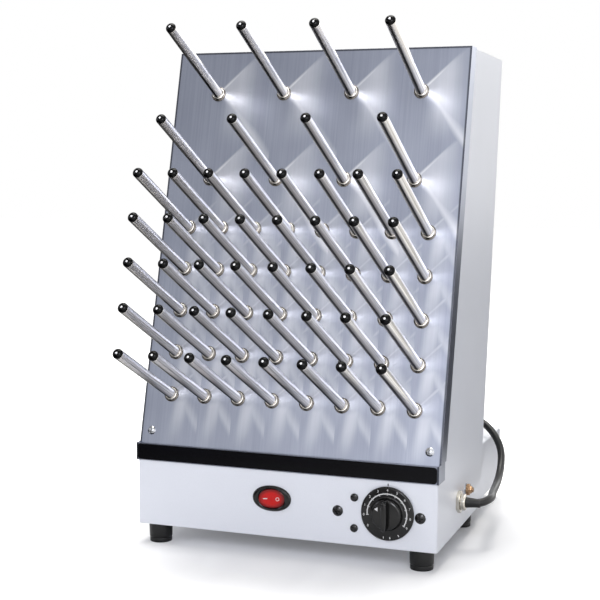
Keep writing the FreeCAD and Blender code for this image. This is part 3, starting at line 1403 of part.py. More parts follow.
def mains_plug():
    """The moulded plug beside the coil, with its tapered boot and three flat pins."""
    back = "(dims.coil_back + dims.coil_middle_radius + dims.cord_diameter / 2)"
    boot_start = "(dims.coil_across - 20)"
    neck = f"({boot_start} - dims.plug_boot_length)"
    axis_height = "(dims.plug_height / 2 - dims.foot_height)"
    body = place(new_body("plug_body"), neck, back, axis_height)
    plan = sketch_on(body, "XY_Plane", "plug_plan", offset="-dims.plug_height / 2")
    half_neck = "(dims.plug_neck_width / 2)"
    half_face = "(dims.plug_width / 2)"
    outline(plan, [
        ("0", f"-{half_neck}"), ("0", half_neck),
        ("-dims.plug_length * 0.65", half_face), ("-dims.plug_length", half_face),
        ("-dims.plug_length", f"-{half_face}"), ("-dims.plug_length * 0.65", f"-{half_face}"),
    ])
    pad(body, "plug_block", plan, "dims.plug_height")
    fillet(body, "plug_edges", "3", lambda edge: straight(edge) is not None
           and edge.BoundBox.XMax > -number("dims.plug_length") + 1)
    boot = doc.addObject("Part::Cone", "plug_boot")
    boot.Placement = Placement(Vector(0, 0, 0), Rotation(Vector(0, 1, 0), 90))
    bind(boot, Radius1="dims.plug_neck_width / 2 - 1.5", Radius2="dims.plug_boot_diameter / 2",
         Height="dims.plug_boot_length + 1")
    place(boot, f"{neck} - 1", back, axis_height)
    keep("mains_plug", joined("plug_moulding", [body, boot]))
    pins = []
    face = f"({neck} - dims.plug_length)"
    for name, across, up, lean in (("live", -6.9, 3.6, 30), ("neutral", 6.9, 3.6, -30),
                                   ("earth", 0, -6.0, 0)):
        pin = doc.addObject("Part::Box", f"pin_{name}")
        pin.Placement = Placement(Vector(0, 0, 0), Rotation(Vector(1, 0, 0), lean))
        bind(pin, Length="dims.pin_length", Width="dims.pin_thickness", Height="dims.pin_width")
        angle = math.radians(lean)
        out_y = -0.8 * math.cos(angle) + 3.15 * math.sin(angle)
        out_z = -0.8 * math.sin(angle) - 3.15 * math.cos(angle)
        place(pin, f"{face} - dims.pin_length", f"{back} + {across + out_y}",
              f"{axis_height} + {up + out_z}")
        pins.append(pin)
    keep("plug_pins", group("pin_set", pins))


CORD_PARTS = ["mains_cord", "cord_coil", "mains_plug", "plug_pins"]

cabinet_shell()
bottom_plate()
rear_cover()
rear_housing()
peg_panel()
for position, (row_height, is_wide) in enumerate(row_heights(), start=1):
    peg_row(position, row_height, is_wide)
    cap_row(position, row_height, is_wide)
panel_screws()
drip_channel()
channel_trim()
front_fasteners()
control_plate()
rocker_switch()
regulator()
feet()
cable_gland()
earth_terminal()
blower()
heater()
terminal_block()
mains_cord()
cord_coil()
mains_plug()

doc.recompute()
for item in doc.Objects:
    if "Invalid" in item.State or "Error" in item.State:
        raise RuntimeError(f"{item.Name} failed: {item.State}")
box = FreeCAD.BoundBox()
for node, item in PARTS.items():
    if item.Shape.isNull() or not item.Shape.isValid() or not item.Shape.Solids:
        raise RuntimeError(f"{node} has no valid solid")
    if node not in CORD_PARTS:
        box.add(item.Shape.BoundBox)
shift = Vector(-box.Center.x, -box.Center.y, -box.ZMin)
os.makedirs("parts", exist_ok=True)
for node, item in PARTS.items():
    shape = item.Shape.copy()
    shape.translate(shift)
    shape.exportStep(f"parts/{node}.step")
print(f"{len(PARTS)} parts, {sum(len(item.Shape.Solids) for item in PARTS.values())} solids, "
      f"shift {shift}")
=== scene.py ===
"""Looks of a glassware dryer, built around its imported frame.

Lengths are millimetres in the cabinet's own frame: x to the right from the middle of its width,
y to the back from its front, z up from its underside. Setting.at turns them to the shared frame.
"""

from __future__ import annotations

import json
import logging
import math
from dataclasses import dataclass, field
from enum import Enum

import bmesh
import bpy
import numpy as np
from mathutils import Matrix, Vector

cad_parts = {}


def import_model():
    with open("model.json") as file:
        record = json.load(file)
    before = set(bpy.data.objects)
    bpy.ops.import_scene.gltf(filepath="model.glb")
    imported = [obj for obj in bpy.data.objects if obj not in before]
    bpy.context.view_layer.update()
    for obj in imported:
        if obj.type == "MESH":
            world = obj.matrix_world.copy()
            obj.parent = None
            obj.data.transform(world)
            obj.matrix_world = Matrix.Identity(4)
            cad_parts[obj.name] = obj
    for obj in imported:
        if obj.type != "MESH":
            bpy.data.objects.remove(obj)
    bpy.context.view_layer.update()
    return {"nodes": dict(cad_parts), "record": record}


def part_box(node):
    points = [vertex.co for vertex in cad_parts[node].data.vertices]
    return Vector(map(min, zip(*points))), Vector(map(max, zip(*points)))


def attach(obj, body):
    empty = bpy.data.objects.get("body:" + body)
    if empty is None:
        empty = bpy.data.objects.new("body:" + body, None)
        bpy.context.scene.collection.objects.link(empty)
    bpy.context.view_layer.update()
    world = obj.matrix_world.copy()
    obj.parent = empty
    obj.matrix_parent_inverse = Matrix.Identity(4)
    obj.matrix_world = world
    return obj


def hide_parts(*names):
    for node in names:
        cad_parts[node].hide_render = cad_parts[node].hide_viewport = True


LOG = logging.getLogger("dryer")
Array = np.ndarray
Socket = bpy.types.NodeSocket
Tree = bpy.types.NodeTree
Item = bpy.types.Object
Material = bpy.types.Material
FULL_TURN = 2 * math.pi
RIGHT = np.array((1.0, 0.0, 0.0))
BACK = np.array((0.0, 1.0, 0.0))
UP = np.array((0.0, 0.0, 1.0))


class Body(Enum):
    """The bodies of the frame that new pieces ride on."""

    BASE = "base"
    ROCKER = "rocker"
    KNOB = "knob"


class Grain(Enum):
    """How many times longer a surface's grain is along x, y and z than across it."""

    EVEN = (1.0, 1.0, 1.0)
    UPRIGHT = (1.0, 80.0, 80.0)
    ACROSS = (80.0, 1.0, 1.0)
    DRAWN = (1.0, 120.0, 1.0)


# Colours, nodes and finishes

def linear(text: str) -> tuple[float, float, float, float]:
    """Turns a colour written as sRGB hex to linear.

    Args:
        text: The colour as "#RRGGBB".

    Returns:
        Its linear red, green and blue, and an alpha of 1.
    """
    values = [int(text[start:start + 2], 16) / 255 for start in (1, 3, 5)]
    red, green, blue = (v / 12.92 if v <= 0.04045 else ((v + 0.055) / 1.055) ** 2.4 for v in values)
    return red, green, blue, 1.0


def add(tree: Tree, kind: str, inputs: dict | None = None, **settings) -> bpy.types.Node:
    """Adds one node.

    Args:
        tree: The tree that gets the node.
        kind: The node's type, without the word ShaderNode.
        inputs: A value or an output socket for each named or numbered input.
        **settings: Properties of the node.

    Returns:
        The new node.
    """
    node = tree.nodes.new("ShaderNode" + kind)
    for name, value in settings.items():
        setattr(node, name, value)
    for key, value in (inputs or {}).items():
        if isinstance(value, Socket):
            tree.links.new(value, node.inputs[key])
        else:
            node.inputs[key].default_value = value
    return node


def wire(tree: Tree, known: dict[str, Socket | float],
         steps: tuple[tuple, ...]) -> dict[str, Socket | float]:
    """Adds a run of sums, one node a step: its name, its work and its inputs. The work is a Math
    operation, or RAMP or EASE, which takes a value, where the change starts and ends, and the
    results there: 0 and 1 unless they are given.

    Args:
        tree: The tree that gets the nodes.
        known: What the inputs may name. Each step's result joins it.
        steps: The steps, in order.

    Returns:
        All that is known by then.
    """
    shapes = {"RAMP": "LINEAR", "EASE": "SMOOTHSTEP"}
    for name, work, *values in steps:
        inputs = {i: known[v] if isinstance(v, str) else v for i, v in enumerate(values)}
        if work in shapes:
            node = add(tree, "MapRange", inputs, interpolation_type=shapes[work])
        else:
            node = add(tree, "Math", inputs, operation=work)
        known[name] = node.outputs[0]
    return known


def emptied(owner: Material | bpy.types.World) -> Tree:
    """The owner's node tree, switched on and cleared."""
    owner.use_nodes = True
    owner.node_tree.nodes.clear()
    return owner.node_tree


def placed(name: str, data: bpy.types.ID) -> Item:
    """A new object of this data in the scene, at the origin."""
    item = bpy.data.objects.new(name, data)
    bpy.context.scene.collection.objects.link(item)
    return item


@dataclass(frozen=True)
class Finish:
    """One finish: two close colours mixed by its grain, with a bump of a real depth.

    Attributes:
        slot: The record's material slot.
        light: Colour on the high parts of the grain.
        dark: Colour in its low parts.
        metallic: 1 for bare metal.
        roughness: Middle of the roughness.
        spread: How far the roughness changes over the grain.
        grain_mm: Size of one grain across its direction.
        grain: Direction of the grain.
        turn: Angle about x from the y axis to the line that the grain follows.
        bump_mm: Depth of the grain.
        edge_mm: Radius that the light sees on a folded or cut edge.
        specular: Level of the reflection of a surface that isn't metal.
    """

    slot: str
    light: str
    dark: str
    metallic: float = 0.0
    roughness: float = 0.4
    spread: float = 0.06
    grain_mm: float = 1.5
    grain: Grain = Grain.EVEN
    turn: float = 0.0
    bump_mm: float = 0.01
    edge_mm: float = 0.0
    specular: float = 0.5

    def colour(self, tree: Tree, coords: Socket, height: Socket) -> Socket:
        """Mixes the two colours by the grain and by broad soft patches.

        Args:
            tree: The material's tree.
            coords: Object coordinates.
            height: The grain's height, 0 to 1.

        Returns:
            The colour's socket.
        """
        patches = add(tree, "TexNoise", {"Vector": coords, "Scale": 14.0, "Detail": 2.0})
        amount = add(tree, "Math", {0: height, 1: patches.outputs[0]}, operation="ADD")
        share = add(tree, "MapRange", {"Value": amount.outputs[0], "From Min": 0.6, "From Max": 1.4})
        mixed = add(tree, "Mix", {0: share.outputs[0], 6: linear(self.dark), 7: linear(self.light)},
                    data_type="RGBA")
        return mixed.outputs[2]

    def material(self) -> Material:
        """Builds the material.

        Returns:
            A node material named after the slot.
        """
        material = bpy.data.materials.new(self.slot)
        tree = emptied(material)
        coords = add(tree, "TexCoord").outputs["Object"]
        turned = add(tree, "Mapping", {"Vector": coords, "Rotation": (self.turn, 0, 0),
                                       "Scale": self.grain.value}, vector_type="TEXTURE")
        noise = add(tree, "TexNoise", {"Vector": turned.outputs[0], "Scale": 1000 / self.grain_mm,
                                       "Detail": 3.0, "Roughness": 0.6})
        height = noise.outputs[0]
        gloss = add(tree, "MapRange", {"Value": height, "From Min": 0.3, "From Max": 0.7,
                                       "To Min": self.roughness - self.spread,
                                       "To Max": self.roughness + self.spread})
        bump = add(tree, "Bump", {"Height": height, "Distance": self.bump_mm / 1000, "Strength": 1.0})
        if self.edge_mm:
            edge = add(tree, "Bevel", {"Radius": self.edge_mm / 1000}, samples=4)
            tree.links.new(edge.outputs[0], bump.inputs["Normal"])
        surface = add(tree, "BsdfPrincipled", {
            "Base Color": self.colour(tree, coords, height), "Metallic": self.metallic,
            "Roughness": gloss.outputs[0], "Normal": bump.outputs[0],
            "Specular IOR Level": self.specular})
        add(tree, "OutputMaterial", {"Surface": surface.outputs[0]})
        return material


@dataclass(frozen=True)
class PegPanelSteel(Finish):
    """Brushed stainless sheet round its pegs, with painted highlights: each collar gets a painted soft
    bright wedge to its right and a fine painted ray up and to the right, standing in for polished
    tubes mirrored in brushed steel. Painted shade darkens the folded rim.

    Attributes:
        glint: Colour of the painted highlights at their brightest.
        gloom: Colour of the painted shade along the folded rim.
        lines_mm: Width of the soft upright lines.
        gain: How much stronger the painted highlights get with each millimetre of pitch, and what is off
            it.
        margin: How far left of a peg its painted highlights start, in pitches.
        ray: Half width of the painted ray, and where it starts and ends to fade, in millimetres.
        wedge: Where the painted wedge starts and ends to fade, in pitches, and its share of the
            strength.
        core: The same of its painted bright middle, in millimetres.
        column: Lean and place of the painted column, its half width in pitches, and its strength.
        drop: Where the column starts, is full, starts to fade and ends, in millimetres.
        fold: Where the painted shade on the rim starts and is full, in millimetres from the edge, and
            its strength.
        foot: Height of the panel's foot in the shared frame, in metres.
        middle: The cabinet's middle in the shared frame, in metres.
        slant: The panel's angle from upright.
        half: Half of the panel's width, in millimetres.
        top: The panel's length up its slope, in millimetres.
        rows: Each row's height up the panel, first peg and pitch, in millimetres.
    """

    glint: str = "#FAFBFF"
    gloom: str = "#2A2B31"
    lines_mm: float = 2.4
    gain: tuple[float, float] = (0.0095, 0.07)
    margin: float = 0.14
    ray: tuple[float, float, float] = (3.6, 12.0, 110.0)
    wedge: tuple[float, float, float] = (0.3, 0.68, 0.52)
    core: tuple[float, float, float] = (9.0, 27.0, 0.68)
    column: tuple[float, float, float, float] = (-0.16, 0.36, 0.3, 0.26)
    drop: tuple[float, float, float, float] = (2.0, -10.0, -14.0, -58.0)
    fold: tuple[float, float, float] = (2.3, 1.5, 0.8)
    foot: float = 0.0
    middle: float = 0.0
    slant: float = 0.0
    half: float = 0.0
    top: float = 0.0
    rows: tuple[tuple[float, float, float], ...] = ()

    def row_glow(self, tree: Tree, across: Socket, up: Socket,
                 row: tuple[float, float, float]) -> Socket:
        """The painted highlights of one row: with dx and dh the way from the nearest peg on the left,
        the painted ray lies where dx = dh and the painted wedge below it, and both fade away from the
        peg. Below the row a soft painted column of reflected light hangs beside each peg.

        Args:
            tree: The material's tree.
            across: Millimetres to the right of the cabinet's middle.
            up: Millimetres up the panel.
            row: The row's height, first peg and pitch.

        Returns:
            The painted highlights' strength.
        """
        height, first, pitch = row
        strength = self.gain[0] * pitch - self.gain[1]
        half_ray, fades, ends = self.ray
        fade, end, share = self.wedge
        core_fade, core_end, core_share = self.core
        lean, place, half_column, dim = self.column
        start, full, falls, low = self.drop
        return wire(tree, {"across": across, "up": up}, (
            ("from_first", "SUBTRACT", "across", first),
            ("dx", "WRAP", "from_first", (1 - self.margin) * pitch, -self.margin * pitch),
            ("dh", "SUBTRACT", "up", height),
            ("off", "SUBTRACT", "dx", "dh"),
            ("along", "MULTIPLY_ADD", "dx", 1.35, "dh"),
            ("beside", "ABSOLUTE", "off"),
            ("line", "EASE", "beside", 0.0, half_ray, 1.0, 0.0),
            ("near", "EASE", "along", fades, ends, strength, 0.0),
            ("ahead", "EASE", "along", 0.0, fades),
            ("below", "EASE", "off", -1.5, 1.5),
            ("broad", "EASE", "dx", fade * pitch, end * pitch, share * strength, 0.0),
            ("core", "EASE", "along", core_fade, core_end, core_share * strength, 0.0),
            ("beyond", "MAXIMUM", "broad", "core"),
            ("ray", "MULTIPLY", "line", "near"),
            ("patch", "MULTIPLY", "below", "beyond"),
            ("both", "MAXIMUM", "ray", "patch"),
            ("fan", "MULTIPLY", "both", "ahead"),
            ("sheared", "MULTIPLY_ADD", "dh", lean, "dx"),
            ("from_middle", "SUBTRACT", "sheared", place * pitch),
            ("width", "ABSOLUTE", "from_middle"),
            ("column", "EASE", "width", 1.0, half_column * pitch, dim, 0.0),
            ("top", "EASE", "dh", start, full),
            ("foot", "EASE", "dh", low, falls),
            ("span", "MULTIPLY", "top", "foot"),
            ("smear", "MULTIPLY", "span", "column"),
            ("glow", "MAXIMUM", "fan", "smear"),
            ("right_of_first", "RAMP", "from_first", -self.margin * pitch, -0.1 * pitch),
            ("share", "MULTIPLY", "glow", "right_of_first")))["share"]

    def colour(self, tree: Tree, coords: Socket, height: Socket) -> Socket:
        """Lays the rows' painted highlights over the brushed grain, and painted shade on the folded rim.
        It takes and gives what a plain finish does.
        """
        turned = add(tree, "Mapping", {"Vector": coords, "Scale": Grain.UPRIGHT.value},
                     vector_type="TEXTURE")
        lines = add(tree, "TexNoise", {"Vector": turned.outputs[0], "Scale": 1000 / self.lines_mm,
                                       "Detail": 4.0, "Roughness": 0.7})
        plain = super().colour(tree, coords, lines.outputs[0])
        split = add(tree, "SeparateXYZ", {0: coords})
        soft = add(tree, "TexNoise", {"Vector": coords, "Scale": 22.0, "Detail": 2.0})
        out = (0.0, -math.cos(self.slant), math.sin(self.slant))
        turned_out = add(tree, "VectorMath", {0: add(tree, "TexCoord").outputs["Normal"], 1: out},
                         operation="DOT_PRODUCT")
        rise = 1000 / math.cos(self.slant)
        start, full, depth = self.fold
        known = {"x": split.outputs[0], "z": split.outputs[2], "soft": soft.outputs[0],
                 "out": turned_out.outputs["Value"], "glow": 0.0}
        wire(tree, known, (
            ("across", "MULTIPLY_ADD", "x", 1000.0, -1000 * self.middle),
            ("up", "MULTIPLY_ADD", "z", rise, -rise * self.foot)))
        # Painted highlights round the pegs of each row
        for row in self.rows:
            known["row"] = self.row_glow(tree, known["across"], known["up"], row)
            wire(tree, known, (("glow", "MAXIMUM", "glow", "row"),))
        # Painted shade along the folded rim, only on the face that looks out
        wire(tree, known, (
            ("aside", "ABSOLUTE", "across"),
            ("side_rim", "RAMP", "aside", self.half - start, self.half - full, 0.0, depth),
            ("top_rim", "RAMP", "up", self.top - start, self.top - full, 0.0, depth),
            ("outline", "MAXIMUM", "side_rim", "top_rim"),
            ("face", "RAMP", "out", 0.6, 0.95),
            ("rim", "MULTIPLY", "outline", "face"),
            ("uneven", "RAMP", "soft", 0.3, 0.7, 0.7, 1.15),
            ("painted_streaks", "MULTIPLY", "glow", "uneven"),
            ("held", "MINIMUM", "painted_streaks", 1.0),
            ("share", "MULTIPLY", "held", "face")))
        # Mixes in the painted highlights, then the painted shade on the rim
        lit = add(tree, "Mix", {0: known["share"], 6: plain, 7: linear(self.glint)},
                  data_type="RGBA")
        return add(tree, "Mix", {0: known["rim"], 6: lit.outputs[2], 7: linear(self.gloom)},
                   data_type="RGBA").outputs[2]


@dataclass(frozen=True)
class DrawnTube(Finish):
    """Polished tube with painted dark reflections: dark bands along it, each placed by how far the
    surface faces up and to the right, square to the tube.

    Attributes:
        gloom: Colour of the painted dark reflections.
        side: The direction square to the tubes, up and to the right.
        bands: The painted dark reflection bands: rows of start, full start, full end, end and
            strength, by the cosine to that side.
    """

    gloom: str = "#101012"
    side: tuple[float, float, float] = (0.69, 0.313, 0.652)
    bands: tuple[tuple[float, ...], ...] = (
        (-1.02, -0.84, -0.66, -0.42, 0.95), (-0.9, -0.8, -0.6, 0.05, 0.42),
        (0.05, 0.12, 0.14, 0.21, 0.4), (0.62, 1.0, 1.1, 1.2, 0.45))

    def colour(self, tree: Tree, coords: Socket, height: Socket) -> Socket:
        """Lays the painted dark reflection bands over the steel. It takes and gives what a plain finish
        does.
        """
        plain = super().colour(tree, coords, height)
        normal = add(tree, "TexCoord").outputs["Normal"]
        facing_side = add(tree, "VectorMath", {0: normal, 1: self.side}, operation="DOT_PRODUCT")
        known = {"side": facing_side.outputs["Value"], "share": 0.0}
        # Painted dark reflections: each band darkens the steel where the surface faces a given way
        for start, full, last, end, strength in self.bands:
            wire(tree, known, (("on", "EASE", "side", start, full, 0.0, strength),
                               ("off", "EASE", "side", end, last),
                               ("band", "MULTIPLY", "on", "off"),
                               ("share", "MAXIMUM", "share", "band")))
        return add(tree, "Mix", {0: known["share"], 6: plain, 7: linear(self.gloom)},
                   data_type="RGBA").outputs[2]


@dataclass(frozen=True)
class BacklitRed(Finish):
    """Clear red moulding with painted shade: bright red in its middle, darkened to deep red at its rim.

    Attributes:
        deep: Colour of the painted shade at the rim.
        middle: The rocker's middle in the shared frame, in metres.
        reach: Half its width and height, in metres.
    """

    deep: str = "#6A0306"
    middle: tuple[float, float, float] = (0.0, 0.0, 0.0)
    reach: tuple[float, float] = (0.0136, 0.0098)

    def colour(self, tree: Tree, coords: Socket, height: Socket) -> Socket:
        """Paints shade on the red, darker from its middle to its rim. It takes and gives what a plain
        finish does.
        """
        plain = super().colour(tree, coords, height)
        flat = add(tree, "Mapping", {"Vector": coords, "Location": self.middle,
                                     "Scale": (self.reach[0], 1000.0, self.reach[1])},
                   vector_type="TEXTURE")
        away = add(tree, "VectorMath", {0: flat.outputs[0]}, operation="LENGTH")
        # Painted shade: the red darkens towards the rim
        known = wire(tree, {"away": away.outputs["Value"]}, (("rim", "EASE", "away", 0.5, 0.98),))
        return add(tree, "Mix", {0: known["rim"], 6: plain, 7: linear(self.deep)},
                   data_type="RGBA").outputs[2]


# Surfaces

def softened(corners: list, reach: float, steps: int = 4) -> Array:
    """Eases the corners of a profile: at each one a quadratic curve runs from the point a reach
    before it to the point a reach after it.

    Args:
        corners: The profile's corners.
        reach: How far from a corner its curve starts, at most half of a side.
        steps: Points on each curve.

    Returns:
        The eased profile, one row a point.
    """
    points = np.asarray(corners, float)
    back = np.vstack([points[:1], points[:-1]]) - points
    ahead = np.vstack([points[1:], points[-1:]]) - points
    runs = [np.linalg.norm(side, axis=1, keepdims=True) for side in (back, ahead)]
    size = np.minimum(reach, np.minimum(*runs) / 2)
    start = points + back / np.maximum(runs[0], 1e-9) * size
    end = points + ahead / np.maximum(runs[1], 1e-9) * size
    t = np.linspace(0, 1, steps)[None, :, None]
    curve = (1 - t) ** 2 * start[:, None] + 2 * t * (1 - t) * points[:, None] + t ** 2 * end[:, None]
    return curve.reshape(-1, points.shape[1])


def around(segments: int) -> Array:
    """Evenly spaced angles of one turn."""
    return np.linspace(0, FULL_TURN, segments, endpoint=False)


def hexagon_rim(across_flats: float, segments: int) -> Array:
    """Distance from the middle of a hexagon to its side at each angle: half its width over flats
    divided by the cosine of the angle from the nearest flat.

    Args:
        across_flats: Its width over flats.
        segments: The number of angles.

    Returns:
        One distance an angle.
    """
    sector = FULL_TURN / 6
    turned = np.mod(around(segments) + sector / 2, sector) - sector / 2
    return across_flats / 2 / np.cos(turned)


def lathe(profile: Array, centre: Array, axis: Array, segments: int = 40,
          rim: Array | None = None) -> Array:
    """A turned surface: centre + along * axis + radius * (cos a * side + sin a * other).

    Args:
        profile: Rows of radius and distance along the axis.
        centre: One start, or several, as rows.
        axis: The direction of the axis.
        segments: Points round the axis.
        rim: The largest radius at each angle, for flats and ribs.

    Returns:
        Points by centre, profile row and angle.
    """
    axis = np.asarray(axis, float) / np.linalg.norm(axis)
    side = np.cross(axis, UP if abs(axis[2]) < 0.9 else RIGHT)
    side /= np.linalg.norm(side)
    other = np.cross(axis, side)
    angle = around(segments)
    ring = np.cos(angle)[:, None] * side + np.sin(angle)[:, None] * other
    radius = np.repeat(profile[:, :1], segments, axis=1)
    if rim is not None:
        radius = np.minimum(radius, rim)
    local = profile[:, 1, None, None] * axis + radius[..., None] * ring
    return np.asarray(centre, float)[..., None, None, :] + local


def superellipse(power: float, segments: int) -> Array:
    """Points of |x|^p + |z|^p = 1: the cosine and sine of each angle raised to 2 / p."""
    unit = np.stack([np.cos(around(segments)), np.sin(around(segments))], axis=-1)
    return np.sign(unit) * np.abs(unit) ** (2 / power)


def layered(width: float, height: float, power: float, profile: Array, centre: Array,
            axes: tuple[Array, Array, Array], segments: int = 72) -> Array:
    """A form with oval outlines: each profile row (inset, out) gives the superellipse
    |x/a|^p + |z/b|^p = 1 with both half axes less by the inset.

    Args:
        width: Outer width.
        height: Outer height.
        power: The superellipse's power: 2 is an ellipse, and more is squarer.
        profile: Rows of inset and distance out.
        centre: The form's middle.
        axes: Directions of the width, the height and out.
        segments: Points round an outline.

    Returns:
        Points by profile row and angle.
    """
    unit = superellipse(power, segments)
    half = np.maximum(np.array([[width, height]]) / 2 - profile[:, :1], 0)
    flat = half[:, None] * unit
    return (np.asarray(centre, float) + flat[..., :1] * axes[0] + flat[..., 1:] * axes[1]
            + profile[:, 1, None, None] * axes[2])


@dataclass
class Shell:
    """Grids of points gathered into one mesh."""

    points: list[Array] = field(default_factory=list)
    faces: list[Array] = field(default_factory=list)
    count: int = 0

    def grid(self, points: Array, closed: bool = True) -> Shell:
        """Adds surfaces whose neighbouring rows and columns of points make quads.

        Args:
            points: Points by any copies, then row, column and x, y, z.
            closed: Whether the last column meets the first.

        Returns:
            This shell.
        """
        sheets = points.reshape(-1, *points.shape[-3:])
        copies, rows, columns, _ = sheets.shape
        index = np.arange(rows * columns).reshape(rows, columns)
        here = index if closed else index[:, :-1]
        beside = np.roll(index, -1, axis=1) if closed else index[:, 1:]
        quads = np.stack([here[:-1], beside[:-1], beside[1:], here[1:]], axis=-1).reshape(-1, 4)
        starts = self.count + np.arange(copies)[:, None, None] * rows * columns
        self.faces.append((quads[None] + starts).reshape(-1, 4))
        self.points.append(sheets.reshape(-1, 3))
        self.count += copies * rows * columns
        return self

    def mesh(self, name: str, setting: Setting) -> Item:
        """Makes the object: doubles are merged, which closes poles and seams, and the normals
        turned outwards.

        Args:
            name: The piece's name.
            setting: Turns the points to the shared frame.

        Returns:
            The object, at the origin.
        """
        mesh = bpy.data.meshes.new(name)
        mesh.from_pydata(setting.at(np.vstack(self.points)), [], np.vstack(self.faces).tolist())
        work = bmesh.new()
        work.from_mesh(mesh)
        bmesh.ops.remove_doubles(work, verts=work.verts, dist=2e-6)
        bmesh.ops.dissolve_degenerate(work, dist=1e-6, edges=work.edges)
        bmesh.ops.recalc_face_normals(work, faces=work.faces)
        work.to_mesh(mesh)
        work.free()
        mesh.shade_smooth()
        mesh.set_sharp_from_angle(angle=math.radians(38))
        return placed(name, mesh)


# Places

@dataclass(frozen=True)
class Setting:
    """Where the cabinet's frame lies, and the frame of its leaning panel."""

    origin: Array
    slant: float = math.radians(14.5)
    panel_setback: float = 6.9
    channel_top: float = 82.9
    half_width: float = 155.0

    def at(self, points: Array) -> Array:
        """Turns millimetres of the cabinet's frame to metres of the shared one."""
        return self.origin + np.asarray(points, float) / 1000

    @property
    def panel_up(self) -> Array:
        """The direction up the panel."""
        return np.array((0.0, math.sin(self.slant), math.cos(self.slant)))

    @property
    def panel_out(self) -> Array:
        """The direction straight out of the panel."""
        return np.array((0.0, -math.cos(self.slant), math.sin(self.slant)))

    def on_panel(self, across: Array, up: float, out: float = 0.0) -> Array:
        """Points of the panel.

        Args:
            across: Distances to the right of the middle.
            up: Distance up the panel from its foot.
            out: Distance out of its face.

        Returns:
            One point for each distance across.
        """
        foot = np.array((0.0, self.panel_setback, self.channel_top))
        return (foot + np.asarray(across, float)[..., None] * RIGHT + up * self.panel_up
                + out * self.panel_out)


@dataclass
class Piecework:
    """What every sub-assembly has: its setting, the materials and a way to finish a piece."""

    setting: Setting
    materials: dict[str, Material]

    def finish(self, item: Item, slot: str, body: Body = Body.BASE,
               instead_of: tuple[str, ...] = ()) -> Item:
        """Dresses a piece, puts it on its body, hides the nodes that it replaces and logs its slot and
        body.

        Args:
            item: The piece.
            slot: Its material slot.
            body: The body that it rides on.
            instead_of: The nodes that it replaces.

        Returns:
            The piece.
        """
        item.data.materials.append(self.materials[slot])
        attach(item, body.value)
        if instead_of:
            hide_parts(*instead_of)
        LOG.info("%s: %s on %s", item.name, slot, body.value)
        return item

    def piece(self, name: str, shell: Shell, slot: str, body: Body = Body.BASE,
              instead_of: tuple[str, ...] = ()) -> Item:
        """Makes and finishes a piece from its shell.

        Args:
            name: The piece's name.
            shell: Its surfaces.
            slot: Its material slot.
            body: The body that it rides on.
            instead_of: The nodes that it replaces.

        Returns:
            The piece.
        """
        return self.finish(shell.mesh(name, self.setting), slot, body, instead_of)


def screw_head(radius: float, height: float, reach: float, centre: Array, axes: tuple) -> Array:
    """A domed cross-head screw: the dome's height is h - r^2 * h / R^2, and inside the cross,
    where the lesser of |x| and |z| is small, it sinks by the recess depth.

    Args:
        radius: Radius of the head.
        height: Height of the dome.
        reach: Half length of the cross.
        centre: Middle of the head's seat, one or several rows.
        axes: Directions of x, z and out.

    Returns:
        Points by centre, ring and angle.
    """
    ring = np.concatenate([np.linspace(0, reach * 1.2, 16), np.linspace(reach * 1.25, radius, 7)])
    angle = around(96)
    x = ring[:, None] * np.cos(angle)
    z = ring[:, None] * np.sin(angle)
    out = height * (1 - (ring / radius) ** 2)[:, None] * np.ones_like(x) + 0.25
    least = np.minimum(np.abs(x), np.abs(z))
    most = np.maximum(np.abs(x), np.abs(z))
    cross = np.clip((0.62 - least) / 0.18, 0, 1) * np.clip((reach - most) / 0.25, 0, 1)
    out = out - cross * 0.5 * height
    head = x[..., None] * axes[0] + z[..., None] * axes[1] + out[..., None] * axes[2]
    rim = np.stack([head[-1], head[-1] - 0.3 * axes[2]])
    skirt = np.concatenate([head, rim[1:], rim[1:] * 0 + (rim[1:].mean(axis=1, keepdims=True))])
    return np.asarray(centre, float)[..., None, None, :] + skirt


# Sub-assemblies

